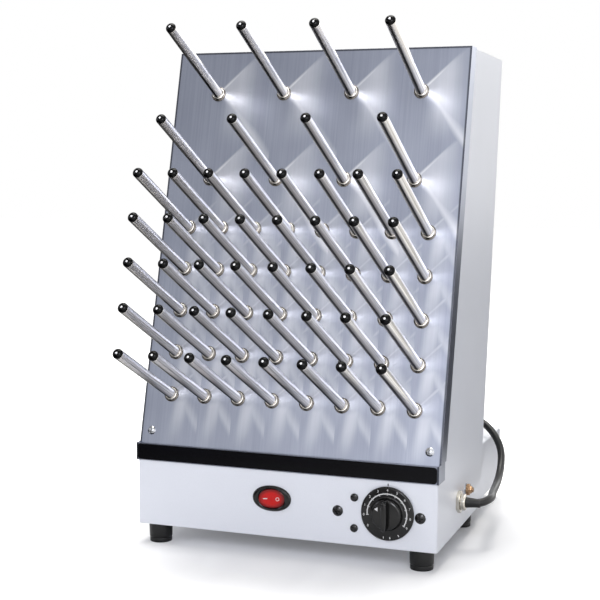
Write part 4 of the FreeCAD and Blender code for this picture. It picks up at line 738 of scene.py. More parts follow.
@dataclass
class PegField(Piecework):
    """The rows of flanged steel tubes with their black end caps."""

    pitch: float = 36.2
    tilt: float = math.radians(11.2)
    length: float = 131.8
    radius: float = 5.0
    cap_height: float = 3.6
    pip_radius: float = 1.4
    collar_radius: float = 7.8
    ring_radius: float = 6.4
    ring_height: float = 2.6
    row_heights: tuple[float, ...] = (364.1, 274.0, 221.8, 178.7, 135.6, 92.5, 49.4)
    wide_rows: int = 2

    def columns(self, row: int) -> tuple[float, float, int]:
        """First peg, pitch and number of pegs of a row."""
        if row < self.wide_rows:
            return -3.0 * self.pitch, 2 * self.pitch, 4
        return -3.5 * self.pitch, self.pitch, 8

    def lattice(self) -> tuple[tuple[float, float, float], ...]:
        """Height, first peg and pitch of every row, for the panel's finish."""
        return tuple((height, *self.columns(row)[:2]) for row, height in enumerate(self.row_heights))

    def build(self) -> None:
        """Makes the tubes and caps, row by row."""
        up, out = self.setting.panel_up, self.setting.panel_out
        axis = math.cos(self.tilt) * out + math.sin(self.tilt) * up
        tube_end = self.length - self.cap_height
        tube = softened([(0, -2.2), (self.ring_radius, -2.2), (self.ring_radius, self.ring_height - 0.5),
                         (self.ring_radius - 0.5, self.ring_height),
                         (self.radius + 0.35, self.ring_height), (self.radius + 0.25, 1.4),
                         (self.radius, 1.5), (self.radius, tube_end - 0.3),
                         (self.radius - 0.3, tube_end), (0, tube_end)], 0.35)
        collar = softened([(self.radius - 1, 0.02), (self.collar_radius, 0.02),
                           (self.collar_radius, 0.7), (self.collar_radius - 0.45, 1.3),
                           (self.ring_radius + 0.55, 0.9), (self.ring_radius + 0.35, 0.2),
                           (self.radius - 1, 0.2), (self.radius - 1, 0.02)], 0.3)
        rise = np.linspace(0, math.pi / 2, 12)
        dome = np.stack([(self.radius + 0.05) * np.cos(rise),
                         tube_end + 0.5 + (self.cap_height - 0.5) * np.sin(rise)], axis=1)
        cap = np.vstack([softened([(0, tube_end + 0.02), (self.radius + 0.05, tube_end + 0.02),
                                   (self.radius + 0.05, tube_end + 0.5)], 0.15)[:-1], dome])
        # A pale dot on each cap's apex: a painted highlight, standing in for the glint on the glossy
        # dome
        low = self.length - 0.25
        highlight_dot = np.array([(0, low - 0.3), (self.pip_radius, low - 0.3), (self.pip_radius, low),
                        (0.7 * self.pip_radius, self.length - 0.02), (0, self.length + 0.04)])
        marks, collars = Shell(), Shell()
        for row, height in enumerate(self.row_heights):
            first, pitch, count = self.columns(row)
            places = self.setting.on_panel(first + pitch * np.arange(count), height)
            collars.grid(lathe(collar, places, out, 48))
            self.piece(f"peg_tubes_row_{row + 1}", Shell().grid(lathe(tube, places, axis)),
                       "stainless_peg", instead_of=(f"pegs_row_{row + 1}",))
            self.piece(f"peg_domes_row_{row + 1}", Shell().grid(lathe(cap, places, axis, 36)),
                       "cap_black", instead_of=(f"peg_caps_row_{row + 1}",))
            marks.grid(lathe(highlight_dot, places, axis, 16))
        # The pale dots are painted highlights on the caps
        item = self.piece("cap_highlight_dots", marks, "gate_grey")
        item = self.piece("peg_collars", collars, "collar_steel")


@dataclass
class Fasteners(Piecework):
    """Screws at the panel's foot, and the screws and small plugs beside the knob."""

    panel_inset: float = 10.6
    panel_height: float = 11.5
    screws_across: tuple[float, float] = (57.2, 138.6)
    screws_height: float = 32.2
    plug_across: float = 73.8
    plug_heights: tuple[float, float] = (16.7, 46.6)

    def build(self) -> None:
        """Makes the heads."""
        setting = self.setting
        edge = setting.half_width - self.panel_inset
        places = setting.on_panel(np.array((-edge, edge)), self.panel_height)
        axes = (RIGHT, setting.panel_up, setting.panel_out)
        self.piece("panel_screw_heads", Shell().grid(screw_head(4.3, 2.1, 2.2, places, axes)),
                   "screw_steel", instead_of=("panel_screws",))
        front = (RIGHT, UP, -BACK)
        places = np.array([(x, 0.0, self.screws_height) for x in self.screws_across])
        self.piece("control_screw_heads", Shell().grid(screw_head(5.3, 2.1, 2.9, places, front)),
                   "screw_black", instead_of=("control_screws",))
        rise = np.linspace(0, math.pi / 2, 10)
        dome = np.stack([3.9 * np.cos(rise), 0.6 + 1.7 * np.sin(rise)], axis=1)
        button = np.vstack([[(0, 0.02), (3.9, 0.02)], dome])
        places = np.array([(self.plug_across, 0.0, z) for z in self.plug_heights])
        self.piece("plug_buttons", Shell().grid(lathe(button, places, -BACK)), "screw_black",
                   instead_of=("blanking_plugs",))


@dataclass
class RockerSwitch(Piecework):
    """The oval bezel and the red rocker with its two marks."""

    across: float = -10.3
    height: float = 38.1
    bezel: tuple[float, float] = (39.8, 25.3)
    opening: tuple[float, float] = (27.4, 20.0)
    power: float = 2.1
    mouth_power: float = 2.15
    thickness: float = 2.2
    pivot_depth: float = 3.0
    tilt: float = math.radians(8.0)
    face_out: float = 6.4
    valley: float = 1.7

    def face(self, x: Array) -> Array:
        """Height of the rocker's face over its pivot: two slopes that meet in a soft valley."""
        return self.face_out - self.valley + self.valley * np.sqrt((x / 13) ** 2 + 0.012)

    def turned(self, points: Array) -> Array:
        """Turns points of the upright rocker by its tilt and puts them at its pivot.

        Args:
            points: Points with x across, y to the back and z up, from the pivot.

        Returns:
            The points in the cabinet's frame.
        """
        cosine, sine = math.cos(self.tilt), math.sin(self.tilt)
        x = points[..., 0] * cosine - points[..., 1] * sine
        y = points[..., 0] * sine + points[..., 1] * cosine
        moved = np.stack([x, y, points[..., 2]], axis=-1)
        return moved + np.array((self.across, self.pivot_depth, self.height))

    def build(self) -> None:
        """Makes the bezel, the rocker and its marks."""
        centre = np.array((self.across, 0.0, self.height))
        axes = (RIGHT, UP, -BACK)
        outer = softened([(0.0, 0.02), (0.0, 0.9), (1.4, self.thickness), (1.7, self.thickness)], 0.5)
        rim = layered(*self.bezel, self.power, outer, centre, axes)
        inner = softened([(-0.3, self.thickness), (0.0, self.thickness - 0.2), (0.0, -4.0)], 0.2)
        well = layered(*self.opening, self.mouth_power, inner, centre, axes)
        share = np.linspace(0, 1, 6)[1:-1, None, None]
        crown = rim[-1] * (1 - share) + well[0] * share
        crown = crown - BACK * 0.35 * np.sin(math.pi * share)
        floor = well[-1:] * 0 + centre + BACK * 4.0
        foot = rim[:1] * 0 + centre - BACK * 0.02
        ring = np.concatenate([foot, rim, crown, well, floor])
        self.piece("switch_bezel", Shell().grid(ring), "control_black", instead_of=("switch_body",))
        flat = softened([(13.6, 0.0), (9.0, 0.0), (5.0, 0.0), (2.0, 0.0), (0.9, 0.0), (0.0, -0.7),
                         (0.0, -8.5), (13.6, -8.5)], 0.5)
        size = (self.opening[0] - 0.9, self.opening[1] - 0.9)
        form = layered(*size, self.mouth_power, flat, np.zeros(3), (RIGHT, UP, -BACK))
        form[..., 1] -= self.face(form[..., 0])
        self.piece("rocker_face", Shell().grid(self.turned(form)), "rocker_red", Body.ROCKER,
                   ("switch_rocker",))
        thin = softened([(0.5, 0.0), (0.0, 0.0), (0.0, 0.12), (0.5, 0.12)], 0.03, 3)
        dash = layered(4.2, 0.9, 4, np.array([(3.0, -0.1), (0.0, -0.1), (0.0, 0.14), (3.0, 0.14)]),
                       -6.6 * RIGHT, axes, 32)
        ring_mark = lathe(thin + np.array((1.35, 0.0)), 5.6 * RIGHT, -BACK, 40)
        marks = Shell()
        for mark in (dash, ring_mark):
            mark[..., 1] -= self.face(mark[..., 0])
            marks.grid(self.turned(mark))
        item = self.piece("rocker_marks", marks, "mark_white", Body.ROCKER)


@dataclass
class HeatDial(Piecework):
    """The skirted knob with its grip bar, and the scale printed on its skirt."""

    across: float = 107.0
    height: float = 34.2
    radius: float = 26.0
    skirt: float = 2.4
    hub_radius: float = 15.5
    hub_height: float = 7.5
    grip_height: float = 17.0
    grip_width: float = 7.0
    stand_off: float = 0.8
    arc_radius: float = 19.4
    scale_start: float = math.radians(186)
    scale_end: float = math.radians(-32)
    ticks: int = 10

    def middle(self, out: float) -> Array:
        """The knob's middle, so far out of the cabinet's front."""
        return np.array((self.across, -self.stand_off - out, self.height))

    def mark(self, radii: tuple[float, float], angle: float, width: float) -> Array:
        """A thin straight mark along a radius, standing 0.12 mm proud of the skirt.

        Args:
            radii: Its inner and outer end.
            angle: Its direction, from the right and up.
            width: Its width.

        Returns:
            Points of its closed form.
        """
        along = math.cos(angle) * RIGHT + math.sin(angle) * UP
        beside = -math.sin(angle) * RIGHT + math.cos(angle) * UP
        profile = np.array([(2.0, -0.1), (0.0, -0.1), (0.0, 0.12), (2.0, 0.12)])
        centre = self.middle(self.skirt) + along * sum(radii) / 2
        return layered(radii[1] - radii[0], width, 6, profile, centre, (along, beside, -BACK), 24)

    def scale_arc(self) -> Array:
        """The curved line of the scale: a small rectangle carried along an arc."""
        steps = 60
        angle = np.linspace(self.scale_start, self.scale_end, steps)
        section = np.array([(-0.5, -0.1), (0.5, -0.1), (0.5, 0.12), (-0.5, 0.12)])
        direction = np.cos(angle)[:, None] * RIGHT + np.sin(angle)[:, None] * UP
        reach = (self.arc_radius + section[:, 0])[None, :, None] * direction[:, None]
        body = self.middle(self.skirt) + reach - section[None, :, 1, None] * BACK
        ends = [body[i:i + 1].mean(axis=1, keepdims=True) + 0 * body[i:i + 1]
                for i in (0, steps - 1)]
        return np.concatenate([ends[0], body, ends[1]])

    def numerals(self) -> Item:
        """The scale's numbers, made from text, upright at a fixed radius outside the arc."""
        parts = []
        angles = np.linspace(self.scale_start, self.scale_end, self.ticks)
        spots = [(str(number), 22.9, angle) for number, angle in enumerate(angles)]
        spots.append(("0", 22.4, math.radians(214)))
        for text, radius, angle in spots:
            curve = bpy.data.curves.new("numeral", "FONT")
            curve.body = text
            curve.size = 0.0034
            curve.extrude = 0.00006
            curve.align_x = "CENTER"
            curve.align_y = "CENTER"
            holder = bpy.data.objects.new("numeral", curve)
            flat = bpy.data.meshes.new_from_object(holder)
            spot = self.middle(self.skirt + 0.05) + radius * (math.cos(angle) * RIGHT
                                                              + math.sin(angle) * UP)
            flat.transform(Matrix.Rotation(math.pi / 2, 4, "X"))
            flat.transform(Matrix.Translation(self.setting.at(spot)))
            bpy.data.objects.remove(holder)
            parts.append(flat)
        work = bmesh.new()
        for part in parts:
            work.from_mesh(part)
        bmesh.ops.remove_doubles(work, verts=work.verts, dist=1e-7)
        bmesh.ops.recalc_face_normals(work, faces=work.faces)
        mesh = bpy.data.meshes.new("dial_numerals")
        work.to_mesh(mesh)
        work.free()
        return placed("dial_numerals", mesh)

    def build(self) -> None:
        """Makes the knob, its grip and the scale."""
        hub = self.hub_radius
        profile = softened([(0, 0.02), (self.radius, 0.02), (self.radius, self.skirt * 0.55),
                            (self.radius - 1.2, self.skirt), (hub + 0.6, self.skirt),
                            (hub - 0.2, self.skirt + 1.2), (hub - 1.2, self.hub_height + 0.2),
                            (hub - 2.6, self.hub_height + 1), (0, self.hub_height + 1)], 0.5, 5)
        shell = Shell().grid(lathe(profile, self.middle(0), -BACK, 96))
        inset = softened([(15.0, 5.0), (0.0, 5.0), (0.0, self.hub_height + 1.5),
                          (0.7, self.grip_height - 1.5), (1.6, self.grip_height),
                          (15.0, self.grip_height)], 0.9, 5)
        bar = layered(self.grip_width, 2 * hub - 1.6, 3.2, inset, self.middle(0), (RIGHT, UP, -BACK), 64)
        shell.grid(bar)
        self.piece("dial_knob", shell, "control_black", Body.KNOB, ("control_knob",))
        scale = Shell().grid(self.scale_arc())
        angles = np.linspace(self.scale_start, self.scale_end, self.ticks)
        for angle in angles:
            scale.grid(self.mark((self.arc_radius - 1.5, self.arc_radius + 1.1), angle, 0.6))
        for angle in (angles[:-1] + angles[1:]) / 2:
            scale.grid(self.mark((self.arc_radius - 0.2, self.arc_radius + 1.0), angle, 0.45))
        for angle in (262, 278, 300):
            scale.grid(self.mark((22.0, 24.0), math.radians(angle), 0.8))
        item = self.piece("dial_scale", scale, "mark_white", Body.KNOB)
        item = self.finish(self.numerals(), "mark_white", Body.KNOB)
        # A small pale triangle on the hub's face, up and to the left of the grip
        pale_triangle = lathe(np.array([(0, -0.2), (2.3, -0.2), (2.3, 0.1), (0, 0.1)]),
                      self.middle(self.hub_height + 1) + np.array((-8.6, 0.0, 5.4)), -BACK, 3)
        item = self.piece("hub_pale_triangle", Shell().grid(pale_triangle), "mark_white", Body.KNOB)
        pointer = layered(1.0, 2.6, 4, np.array([(2.0, 0.0), (0.0, 0.0), (0.0, 0.1), (2.0, 0.1)]),
                          np.array((self.across, 0.0, self.height + self.radius + 1.4)),
                          (RIGHT, UP, -BACK), 24)
        self.piece("front_pointer", Shell().grid(pointer), "screw_black")


@dataclass
class Feet(Piecework):
    """Four rubber feet with a ring round the lower end and a hollow for the screw."""

    inset: float = 18.0
    backs: tuple[float, float] = (14.8, 179.0)
    height: float = 20.0
    radius: float = 12.0

    def build(self) -> None:
        """Makes the feet."""
        edge = self.setting.half_width - self.inset
        places = np.array([(x, y, -self.height) for x in (-edge, edge) for y in self.backs])
        low = self.radius - 0.8
        profile = softened([(2.8, 12.0), (5.9, 12.0), (5.9, 0.0), (low, 0.0), (low, 3.9),
                            (low - 0.5, 4.2), (low - 0.4, 4.9), (self.radius - 0.5, 5.2),
                            (self.radius, self.height), (2.8, self.height), (2.8, 12.0)], 0.6)
        self.piece("rubber_feet", Shell().grid(lathe(profile, places, UP, 56)), "rubber_black",
                   instead_of=("feet",))


@dataclass
class SideFittings(Piecework):
    """The plated cable gland with its tapered sleeve, and the earth terminal's thumb nut."""

    back: float = 86.8
    height: float = 29.3
    earth_back: float = 121.0
    earth_height: float = 34.0

    def build(self) -> None:
        """Makes the gland and the nut."""
        side = self.setting.half_width
        start = np.array((side, self.back, self.height))
        flats = hexagon_rim(20.0, 96)
        body = softened([(4.4, 0.02), (10.9, 0.02), (11.4, 0.5), (11.4, 2.9), (10.6, 3.5),
                         (4.4, 3.5), (4.4, 0.02)], 0.25)
        self.piece("gland_hexagon", Shell().grid(lathe(body, start, RIGHT, 96, flats)),
                   "gland_nickel", instead_of=("gland_body",))
        ribs = 8.3 - 0.28 * (0.5 + 0.5 * np.cos(12 * around(96)))
        nut = softened([(4.4, 3.55), (7.9, 3.55), (8.3, 4.0), (8.3, 7.2), (7.0, 8.45), (5.4, 8.5),
                        (4.4, 8.5), (4.4, 3.55)], 0.5)
        self.piece("gland_cap", Shell().grid(lathe(nut, start, RIGHT, 96, ribs)), "gland_nickel",
                   instead_of=("gland_cap_nut",))
        sleeve = softened([(3.7, 2.0), (5.3, 2.0), (5.3, 9.4), (5.0, 11.0), (4.5, 17.0), (4.15, 22.5),
                           (3.7, 22.5), (3.7, 2.0)], 0.5)
        self.piece("gland_sleeve", Shell().grid(lathe(sleeve, start, RIGHT, 40)), "rubber_black",
                   instead_of=("gland_seal",))
        start = np.array((side + 1.2, self.earth_back, self.earth_height))
        knurl = 5.8 - 0.3 * (0.5 + 0.5 * np.cos(22 * around(132)))
        thumb = softened([(2.55, 0.02), (5.4, 0.02), (5.9, 0.5), (5.9, 3.1), (5.4, 3.6), (3.9, 3.65),
                          (3.7, 5.3), (3.3, 5.6), (2.55, 5.6), (2.55, 0.02)], 0.4)
        self.piece("earth_nut", Shell().grid(lathe(thumb, start, RIGHT, 132, knurl)), "earth_brass",
                   instead_of=("earth_thumb_nut",))


@dataclass
class MainsLead(Piecework):
    """The mains cord with its coil behind the dryer, its tie and its plug."""

    route: tuple[tuple[float, float, float], ...] = (
        (168, 86.8, 29.3), (178, 86.8, 29.3), (186, 103, 32), (180, 133, 29), (176, 166, 26),
        (174, 194, 28), (173, 216, 38), (170, 233, 54), (160, 242, 69), (146, 252, 79),
        (130, 262, 81), (113, 276, 74), (99, 292, 75), (92, 313, 75), (87, 330, 66),
        (83, 342, 50), (82, 346, 32), (82, 350, 12), (83, 362, -5), (84, 380, -14.5),
        (85, 400, -16))
    radius: float = 4.0
    coil_centre: tuple[float, float] = (37.0, 400.0)
    coil_points: int = 16
    coil_degrees: tuple[float, ...] = (0, 305, 352, 615, 668, 930, 985, 1240, 1300, 1530)
    coil_radii: tuple[float, ...] = (48, 48, 40, 40, 40, 40, 48, 48, 48, 48)
    coil_heights: tuple[float, ...] = (-16, -16, -16, -16, -8, -8, -8, -8, 0, 0)
    length: float = 1.62

    def coil(self) -> Array:
        """The coil's turns: at each angle the radius and height come from a table by angle, so
        that each turn lies beside or on the one before."""
        step = 360 / self.coil_points
        degrees = np.arange(step, self.coil_degrees[-1] + 1, step)
        reach = np.interp(degrees, self.coil_degrees, self.coil_radii)
        height = np.interp(degrees, self.coil_degrees, self.coil_heights)
        angle = np.radians(degrees)
        x, y = self.coil_centre
        return np.stack([x + reach * np.cos(angle), y + reach * np.sin(angle), height], axis=1)

    def line(self) -> Item:
        """The cord as one smooth spline through its route, its coil and the plug's boot.

        Returns:
            The curve object.
        """
        x, y = self.coil_centre
        lead = [(x - 10, y + 48, -2.5), (x - 16, y + 48, -6.5), (x - 24, y + 48, -8)]
        points = self.setting.at(np.vstack([self.route, self.coil(), lead]))
        curve = bpy.data.curves.new("mains_lead", "CURVE")
        curve.dimensions = "3D"
        curve.bevel_depth = self.radius / 1000
        curve.bevel_resolution = 5
        curve.resolution_u = 8
        curve.use_fill_caps = True
        spline = curve.splines.new("NURBS")
        spline.points.add(len(points) - 1)
        spline.points.foreach_set("co", np.column_stack([points, np.ones(len(points))]).ravel())
        spline.order_u = 3
        spline.use_endpoint_u = True
        return placed("mains_lead", curve)

    def tie(self) -> Item:
        """A flat band round the turns: a superellipse carried out and in by its thickness."""
        x, y = self.coil_centre
        angle = math.radians(205)
        out = math.cos(angle) * RIGHT + math.sin(angle) * BACK
        along = -math.sin(angle) * RIGHT + math.cos(angle) * BACK
        centre = np.array((x, y, -12.0)) + 44 * out
        profile = softened([(0.0, -4.0), (0.0, 4.0), (0.9, 4.0), (0.9, -4.0), (0.0, -4.0)], 0.3)
        band = layered(18.4, 18.4, 3.2, profile, centre, (out, UP, along), 56)
        band[..., 2] = np.maximum(band[..., 2], -20.0)
        return self.piece("cord_tie", Shell().grid(band), "rubber_black")

    def plug(self) -> tuple[Item, Item]:
        """The moulded plug with its ribbed boot, and its three blades.

        Returns:
            The moulding and the blades.
        """
        x, y = self.coil_centre
        neck = np.array((x - 46, y + 48, -8.0))
        along = np.linspace(0, 26, 53)
        taper = 6.4 + 2.0 * (along / 26) ** 1.5
        ribs = taper - 0.55 * (np.mod(along + 1, 4.4) < 1.2) * (along < 23)
        boot = np.vstack([[(0, 0)], np.stack([ribs, along], axis=1), [(7, 30), (0, 30)]])
        shell = Shell().grid(lathe(boot, neck + 26 * RIGHT, -RIGHT, 36))
        depth = np.array((0, 0.8, 3, 9, 16, 22, 27, 33, 34, 34))
        width = np.array((18, 19.6, 20.6, 24, 30, 35, 36, 36, 35, 0))
        tall = np.array((20, 22, 23.4, 24, 24, 24, 24, 24, 23, 0))
        ring = superellipse(4.0, 64)
        body = (neck - depth[:, None, None] * RIGHT + width[:, None, None] / 2 * ring[:, :1] * BACK
                + tall[:, None, None] / 2 * ring[:, 1:] * UP)
        start = body[:1] * 0 + neck
        shell.grid(np.concatenate([start, body]))
        moulding = self.piece("plug_moulding", shell, "cord_black", instead_of=("mains_plug",))
        blades = Shell()
        face = neck - 34 * RIGHT
        profile = softened([(4.0, -1.0), (0.0, -1.0), (0.0, 16.2), (0.5, 17.0), (4.0, 17.0)], 0.3)
        for across, rise, lean in ((-6.9, 3.6, 30), (6.9, 3.6, -30), (0.0, -6.0, 0)):
            turn = math.radians(lean)
            thin = math.cos(turn) * BACK + math.sin(turn) * UP
            tall_way = -math.sin(turn) * BACK + math.cos(turn) * UP
            middle = face + across * BACK + rise * UP
            blades.grid(layered(1.6, 6.3, 6, profile, middle, (thin, tall_way, -RIGHT), 32))
        return moulding, self.piece("plug_blades", blades, "earth_brass", instead_of=("plug_pins",))

    def build(self) -> None:
        cord = self.finish(self.line(), "cord_black", instead_of=("mains_cord", "cord_coil"))
        moulding, blades = self.plug()
        exit_point = tuple(float(v) for v in self.setting.at(self.route[0]))
        self.tie()


# Stage

@dataclass(frozen=True)
class Softbox:
    """One area lamp that faces a point of the object."""

    name: str
    place: tuple[float, float, float]
    aim: tuple[float, float, float]
    size: tuple[float, float]
    power: float
    colour: str

    def build(self) -> None:
        """Adds the lamp."""
        lamp = bpy.data.lights.new(self.name, "AREA")
        lamp.shape = "RECTANGLE"
        lamp.size, lamp.size_y = self.size
        lamp.energy = self.power
        lamp.color = linear(self.colour)[:3]
        item = placed(self.name, lamp)
        way = np.array(self.place) - np.array(self.aim)
        way /= np.linalg.norm(way)
        right = np.cross(UP, way)
        right /= np.linalg.norm(right)
        item.matrix_world = facing(right, np.cross(way, right), way, np.array(self.place))


def facing(right: Array, up: Array, away: Array, place: Array) -> Matrix:
    """The matrix of a lamp or camera from its axes, one column each, and its place."""
    matrix = np.eye(4)
    matrix[:3] = np.column_stack([right, up, away, place])
    return Matrix(matrix.tolist())


@dataclass(frozen=True)
class Studio:
    """Camera, floor, world and lamps.

    Attributes:
        setting: The cabinet's place.
        place: The camera's place in the cabinet's frame.
        yaw: The camera's turn about the vertical.
        pitch: How far it tips down.
        roll: Its turn about its own axis.
        lens: Its focal length.
        sky: The world's light from the far left and the far right.
        floor_side: Half of the floor's side, in metres.
        paper: Colour of the floor.
        beyond: Colour of the floor past the paper, in reflections.
        lamps: The softboxes.
    """

    setting: Setting
    place: tuple[float, float, float] = (432.672, -1162.455, 352.4)
    yaw: float = 0.343
    pitch: float = 0.096
    roll: float = 0.006
    lens: float = 77.98
    sky: tuple[float, float] = (0.62, 0.04)
    floor_side: float = 8.0
    paper: str = "#EFEFF0"
    beyond: str = "#303033"
    lamps: tuple[Softbox, ...] = (
        Softbox("key", (0.92, -2.35, 1.6), (0, 0, 0.25), (1.0, 1.0), 29.5, "#F4F6FF"),
        Softbox("left", (-2.2, -1.3, 1.5), (0, 0, 0.25), (0.5, 0.9), 8, "#F0F3FF"),
        Softbox("top", (-0.1, 0.2, 2.3), (0, 0, 0.2), (1.5, 1.3), 55, "#FFFDF8"),
    )

    def camera(self) -> None:
        """Adds the camera."""
        forward = np.array((-math.sin(self.yaw) * math.cos(self.pitch),
                            math.cos(self.yaw) * math.cos(self.pitch), -math.sin(self.pitch)))
        level = np.array((math.cos(self.yaw), math.sin(self.yaw), 0.0))
        upright = np.cross(level, forward)
        right = math.cos(self.roll) * level + math.sin(self.roll) * upright
        up = -math.sin(self.roll) * level + math.cos(self.roll) * upright
        data = bpy.data.cameras.new("camera")
        data.lens = self.lens
        data.sensor_width = 36.0
        data.clip_start = 0.05
        item = placed("camera", data)
        item.matrix_world = facing(right, up, -forward, self.setting.at(self.place))
        bpy.context.scene.camera = item

    def world(self) -> None:
        """The world: white to the camera. In reflections it is white behind the object and a
        studio in front of it: bright on the right, dim on the left, dark near the horizon."""
        world = bpy.data.worlds.new("studio")
        bpy.context.scene.world = world
        tree = emptied(world)
        path = add(tree, "LightPath")
        coords = add(tree, "TexCoord")
        split = add(tree, "SeparateXYZ", {0: coords.outputs["Generated"]})
        known = dict(zip("xyz", split.outputs))
        known["glossy"] = path.outputs["Is Glossy Ray"]
        known["through"] = path.outputs["Is Transmission Ray"]
        wire(tree, known, (
            ("aside", "EASE", "x", -0.25, 0.3, 0.03, 1.5),
            ("rise", "EASE", "z", 0.02, 0.14),
            ("fall", "EASE", "z", 0.2, 0.56, 1.0, 0.42),
            ("level", "EASE", "x", -0.44, -0.1, 1.0, 2.6),
            ("across", "MULTIPLY", "level", "fall"),
            ("behind", "RAMP", "y", 0.0, 0.2),
            ("above", "MULTIPLY", "rise", "across"),
            ("front", "MAXIMUM", "aside", "above"),
            ("shade", "MAXIMUM", "front", "behind"),
            ("shiny", "MAXIMUM", "glossy", "through"),
            ("sky", "RAMP", "x", -1.0, 1.0, *self.sky)))
        reflected = add(tree, "Mix", {0: known["shiny"], 2: known["sky"], 3: known["shade"]})
        seen = add(tree, "Mix", {0: path.outputs["Is Camera Ray"], 2: reflected.outputs[0], 3: 1.0})
        light = add(tree, "Background", {"Color": (1, 1, 1, 1), "Strength": seen.outputs[0]})
        add(tree, "OutputWorld", {"Surface": light.outputs[0]})

    def floor(self) -> None:
        """The floor: matt white that keeps the shadow, lifted to white for the camera, and in
        reflections a sheet of paper that ends on a dark floor."""
        side = self.floor_side
        mesh = bpy.data.meshes.new("floor")
        mesh.from_pydata([(-side, -side, 0), (side, -side, 0), (side, side, 0), (-side, side, 0)],
                         [], [(0, 1, 2, 3)])
        item = placed("floor", mesh)
        material = bpy.data.materials.new("floor_paper")
        tree = emptied(material)
        path = add(tree, "LightPath")
        coords = add(tree, "TexCoord").outputs["Object"]
        far = add(tree, "VectorMath", {0: coords}, operation="LENGTH")
        split = add(tree, "SeparateXYZ", {0: coords})
        known = {"x": split.outputs[0], "y": split.outputs[1], "far": far.outputs["Value"],
                 "seen": path.outputs["Is Camera Ray"], "glossy": path.outputs["Is Glossy Ray"]}
        wire(tree, known, (
            ("more", "EASE", "far", 0.13, 0.46, 0.1, 0.75),
            ("lift", "MULTIPLY", "seen", "more"),
            ("aside", "MULTIPLY_ADD", "y", -0.5, "x"),
            ("right", "EASE", "aside", 0.1, 0.8),
            ("near", "EASE", "far", 0.3, 0.6, 1.0, 0.0),
            ("sheet", "MAXIMUM", "right", "near"),
            ("plain", "SUBTRACT", 1.0, "glossy"),
            ("share", "MAXIMUM", "sheet", "plain"),
            ("shine", "MULTIPLY", "right", "glossy"),
            ("strength", "MULTIPLY_ADD", "shine", 0.8, "lift")))
        white = add(tree, "Mix", {0: known["share"], 6: linear(self.beyond), 7: linear(self.paper)},
                    data_type="RGBA")
        matt = add(tree, "BsdfDiffuse", {"Color": white.outputs[2]})
        glow = add(tree, "Emission", {"Color": (1, 1, 1, 1), "Strength": known["strength"]})
        both = add(tree, "AddShader", {0: matt.outputs[0], 1: glow.outputs[0]})
        add(tree, "OutputMaterial", {"Surface": both.outputs[0]})
        mesh.materials.append(material)

    def build(self) -> None:
        """Sets up everything that isn't part of the object."""
        bpy.context.scene.view_settings.view_transform = "Standard"
        self.camera()
        self.world()
        self.floor()
        for lamp in self.lamps:
            lamp.build()


# Finishes: two close colours, then how the surface was made

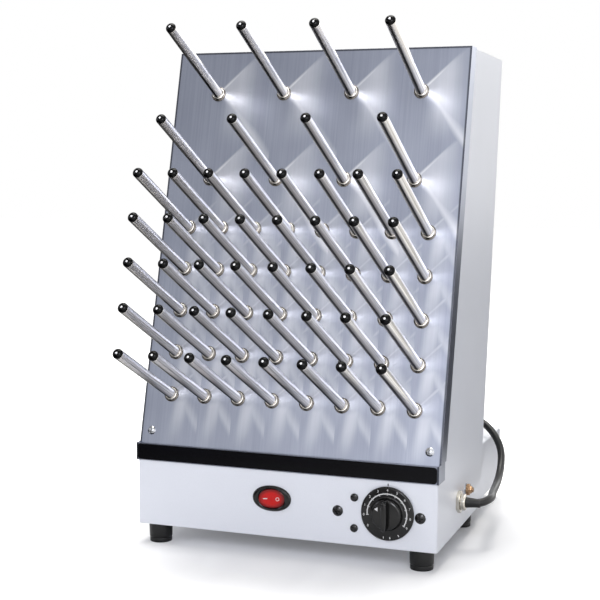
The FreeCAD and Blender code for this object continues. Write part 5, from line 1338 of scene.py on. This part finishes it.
def finishes(setting: Setting, pegs: PegField) -> list[Finish]:
    """Every finish of the object.

    Args:
        setting: The cabinet's place, for the panel's painted highlights and rim shade.
        pegs: The peg field, for the same.

    Returns:
        One finish a slot.
    """
    foot = float(setting.at((0, 0, setting.channel_top))[2])
    middle = float(setting.origin[0])
    low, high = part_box("peg_panel")
    switch = RockerSwitch(setting, {})
    rocker = tuple(float(value) for value in setting.at((switch.across, 0, switch.height)))
    return [
        # Powder coat on sheet steel: satin with a slight orange peel of about 1.5 mm
        Finish("white_paint", "#E6E9F1", "#E2E5ED", roughness=0.36, grain_mm=1.6, bump_mm=0.008,
               edge_mm=1.0),
        # Brushed stainless: fine grooves smear what it mirrors upwards and downwards; its colour also
        # carries painted highlights round the pegs and painted shade along the folded rim
        PegPanelSteel("stainless_panel", "#9CA1B0", "#858A9A", metallic=1.0, roughness=0.285,
                      spread=0.005, grain_mm=0.3, grain=Grain.ACROSS, bump_mm=0.001, edge_mm=0.6,
                      foot=foot, middle=middle, slant=setting.slant,
                      half=500 * (high.x - low.x), top=1000 * (high.z - foot) / math.cos(setting.slant),
                      rows=pegs.lattice()),
        # Drawn and polished stainless tube: faint lines along it, and painted dark reflection bands
        # placed by which way the surface faces
        DrawnTube("stainless_peg", "#F4F0EB", "#EEEAE4", metallic=1.0, roughness=0.28, spread=0.0,
                  grain_mm=2.0, grain=Grain.DRAWN, turn=-setting.slant - pegs.tilt, bump_mm=0.0),
        # Rolled collars of the same tube, duller than its polished length
        Finish("collar_steel", "#9C9894", "#7E7B78", metallic=1.0, roughness=0.14, bump_mm=0.0005),
        Finish("cap_black", "#050506", "#030304", roughness=0.12, spread=0.02, bump_mm=0.0001,
               specular=0.1),
        # Painted highlight: a pale dot on each cap's apex standing in for the glint on the glossy dome
        Finish("gate_grey", "#F4F4F6", "#EAEAEC", roughness=0.2, bump_mm=0.0001),
        Finish("trim_black", "#08080D", "#050507", roughness=0.2, spread=0.04, bump_mm=0.0005,
               specular=0.15, edge_mm=0.6),
        Finish("control_black", "#060607", "#040404", roughness=0.16, grain_mm=0.8, bump_mm=0.0003,
               specular=0.4),
        # Clear red polycarbonate, with painted shade that darkens it towards its rim
        BacklitRed("rocker_red", "#D00000", "#BC0000", roughness=0.14, spread=0.03, bump_mm=0.0002,
                   specular=0.3, middle=rocker),
        Finish("screw_black", "#0C0C0F", "#060608", roughness=0.16, bump_mm=0.0005, specular=0.45),
        Finish("screw_steel", "#B4B6BA", "#A0A2A6", metallic=1.0, roughness=0.24, bump_mm=0.002),
        Finish("plain_steel", "#A6A9AD", "#8E9195", metallic=1.0, roughness=0.35, bump_mm=0.004),
        Finish("rubber_black", "#0E0E0F", "#080809", roughness=0.45, grain_mm=0.7, bump_mm=0.006,
               specular=0.35),
        Finish("gland_nickel", "#C9C4BA", "#AFAAA0", metallic=1.0, roughness=0.2, bump_mm=0.003),
        Finish("earth_brass", "#A88A6C", "#86694E", metallic=1.0, roughness=0.28, bump_mm=0.002),
        Finish("cord_black", "#0B0B0C", "#070708", roughness=0.34, grain_mm=1.2, bump_mm=0.003,
               specular=0.35),
        Finish("motor_silver", "#AEB0B3", "#96989B", metallic=1.0, roughness=0.4, bump_mm=0.02),
        Finish("blower_black", "#1C1C1E", "#151517", roughness=0.45, bump_mm=0.008),
        Finish("heater_sheath", "#786F66", "#5C5149", metallic=1.0, roughness=0.42, bump_mm=0.006),
        Finish("terminal_white", "#DCD8CE", "#D0CCC2", roughness=0.45, bump_mm=0.004),
        # Pad print on plastic
        Finish("mark_white", "#E6E6E6", "#DADADA", roughness=0.5, bump_mm=0.001),
    ]


def main() -> None:
    """Loads the frame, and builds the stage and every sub-assembly."""
    logging.basicConfig(level=logging.INFO, format="%(message)s")
    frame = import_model()
    low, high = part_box("cabinet_shell")
    setting = Setting(np.array(((low.x + high.x) / 2, low.y, low.z)))
    materials: dict[str, Material] = {}
    pegs = PegField(setting, materials)
    for finish in finishes(setting, pegs):
        materials[finish.slot] = finish.material()
    for part in frame["record"]["subparts"]:
        item = frame["nodes"][part["node"]]
        item.data.materials.clear()
        item.data.materials.append(materials[part["material_slot"]])
    Studio(setting).build()
    for kind in (MainsLead, Fasteners, RockerSwitch, HeatDial, Feet, SideFittings):
        LOG.info("building %s", kind.__name__)
        kind(setting, materials).build()
    pegs.build()


if __name__ == "__main__":
    main()
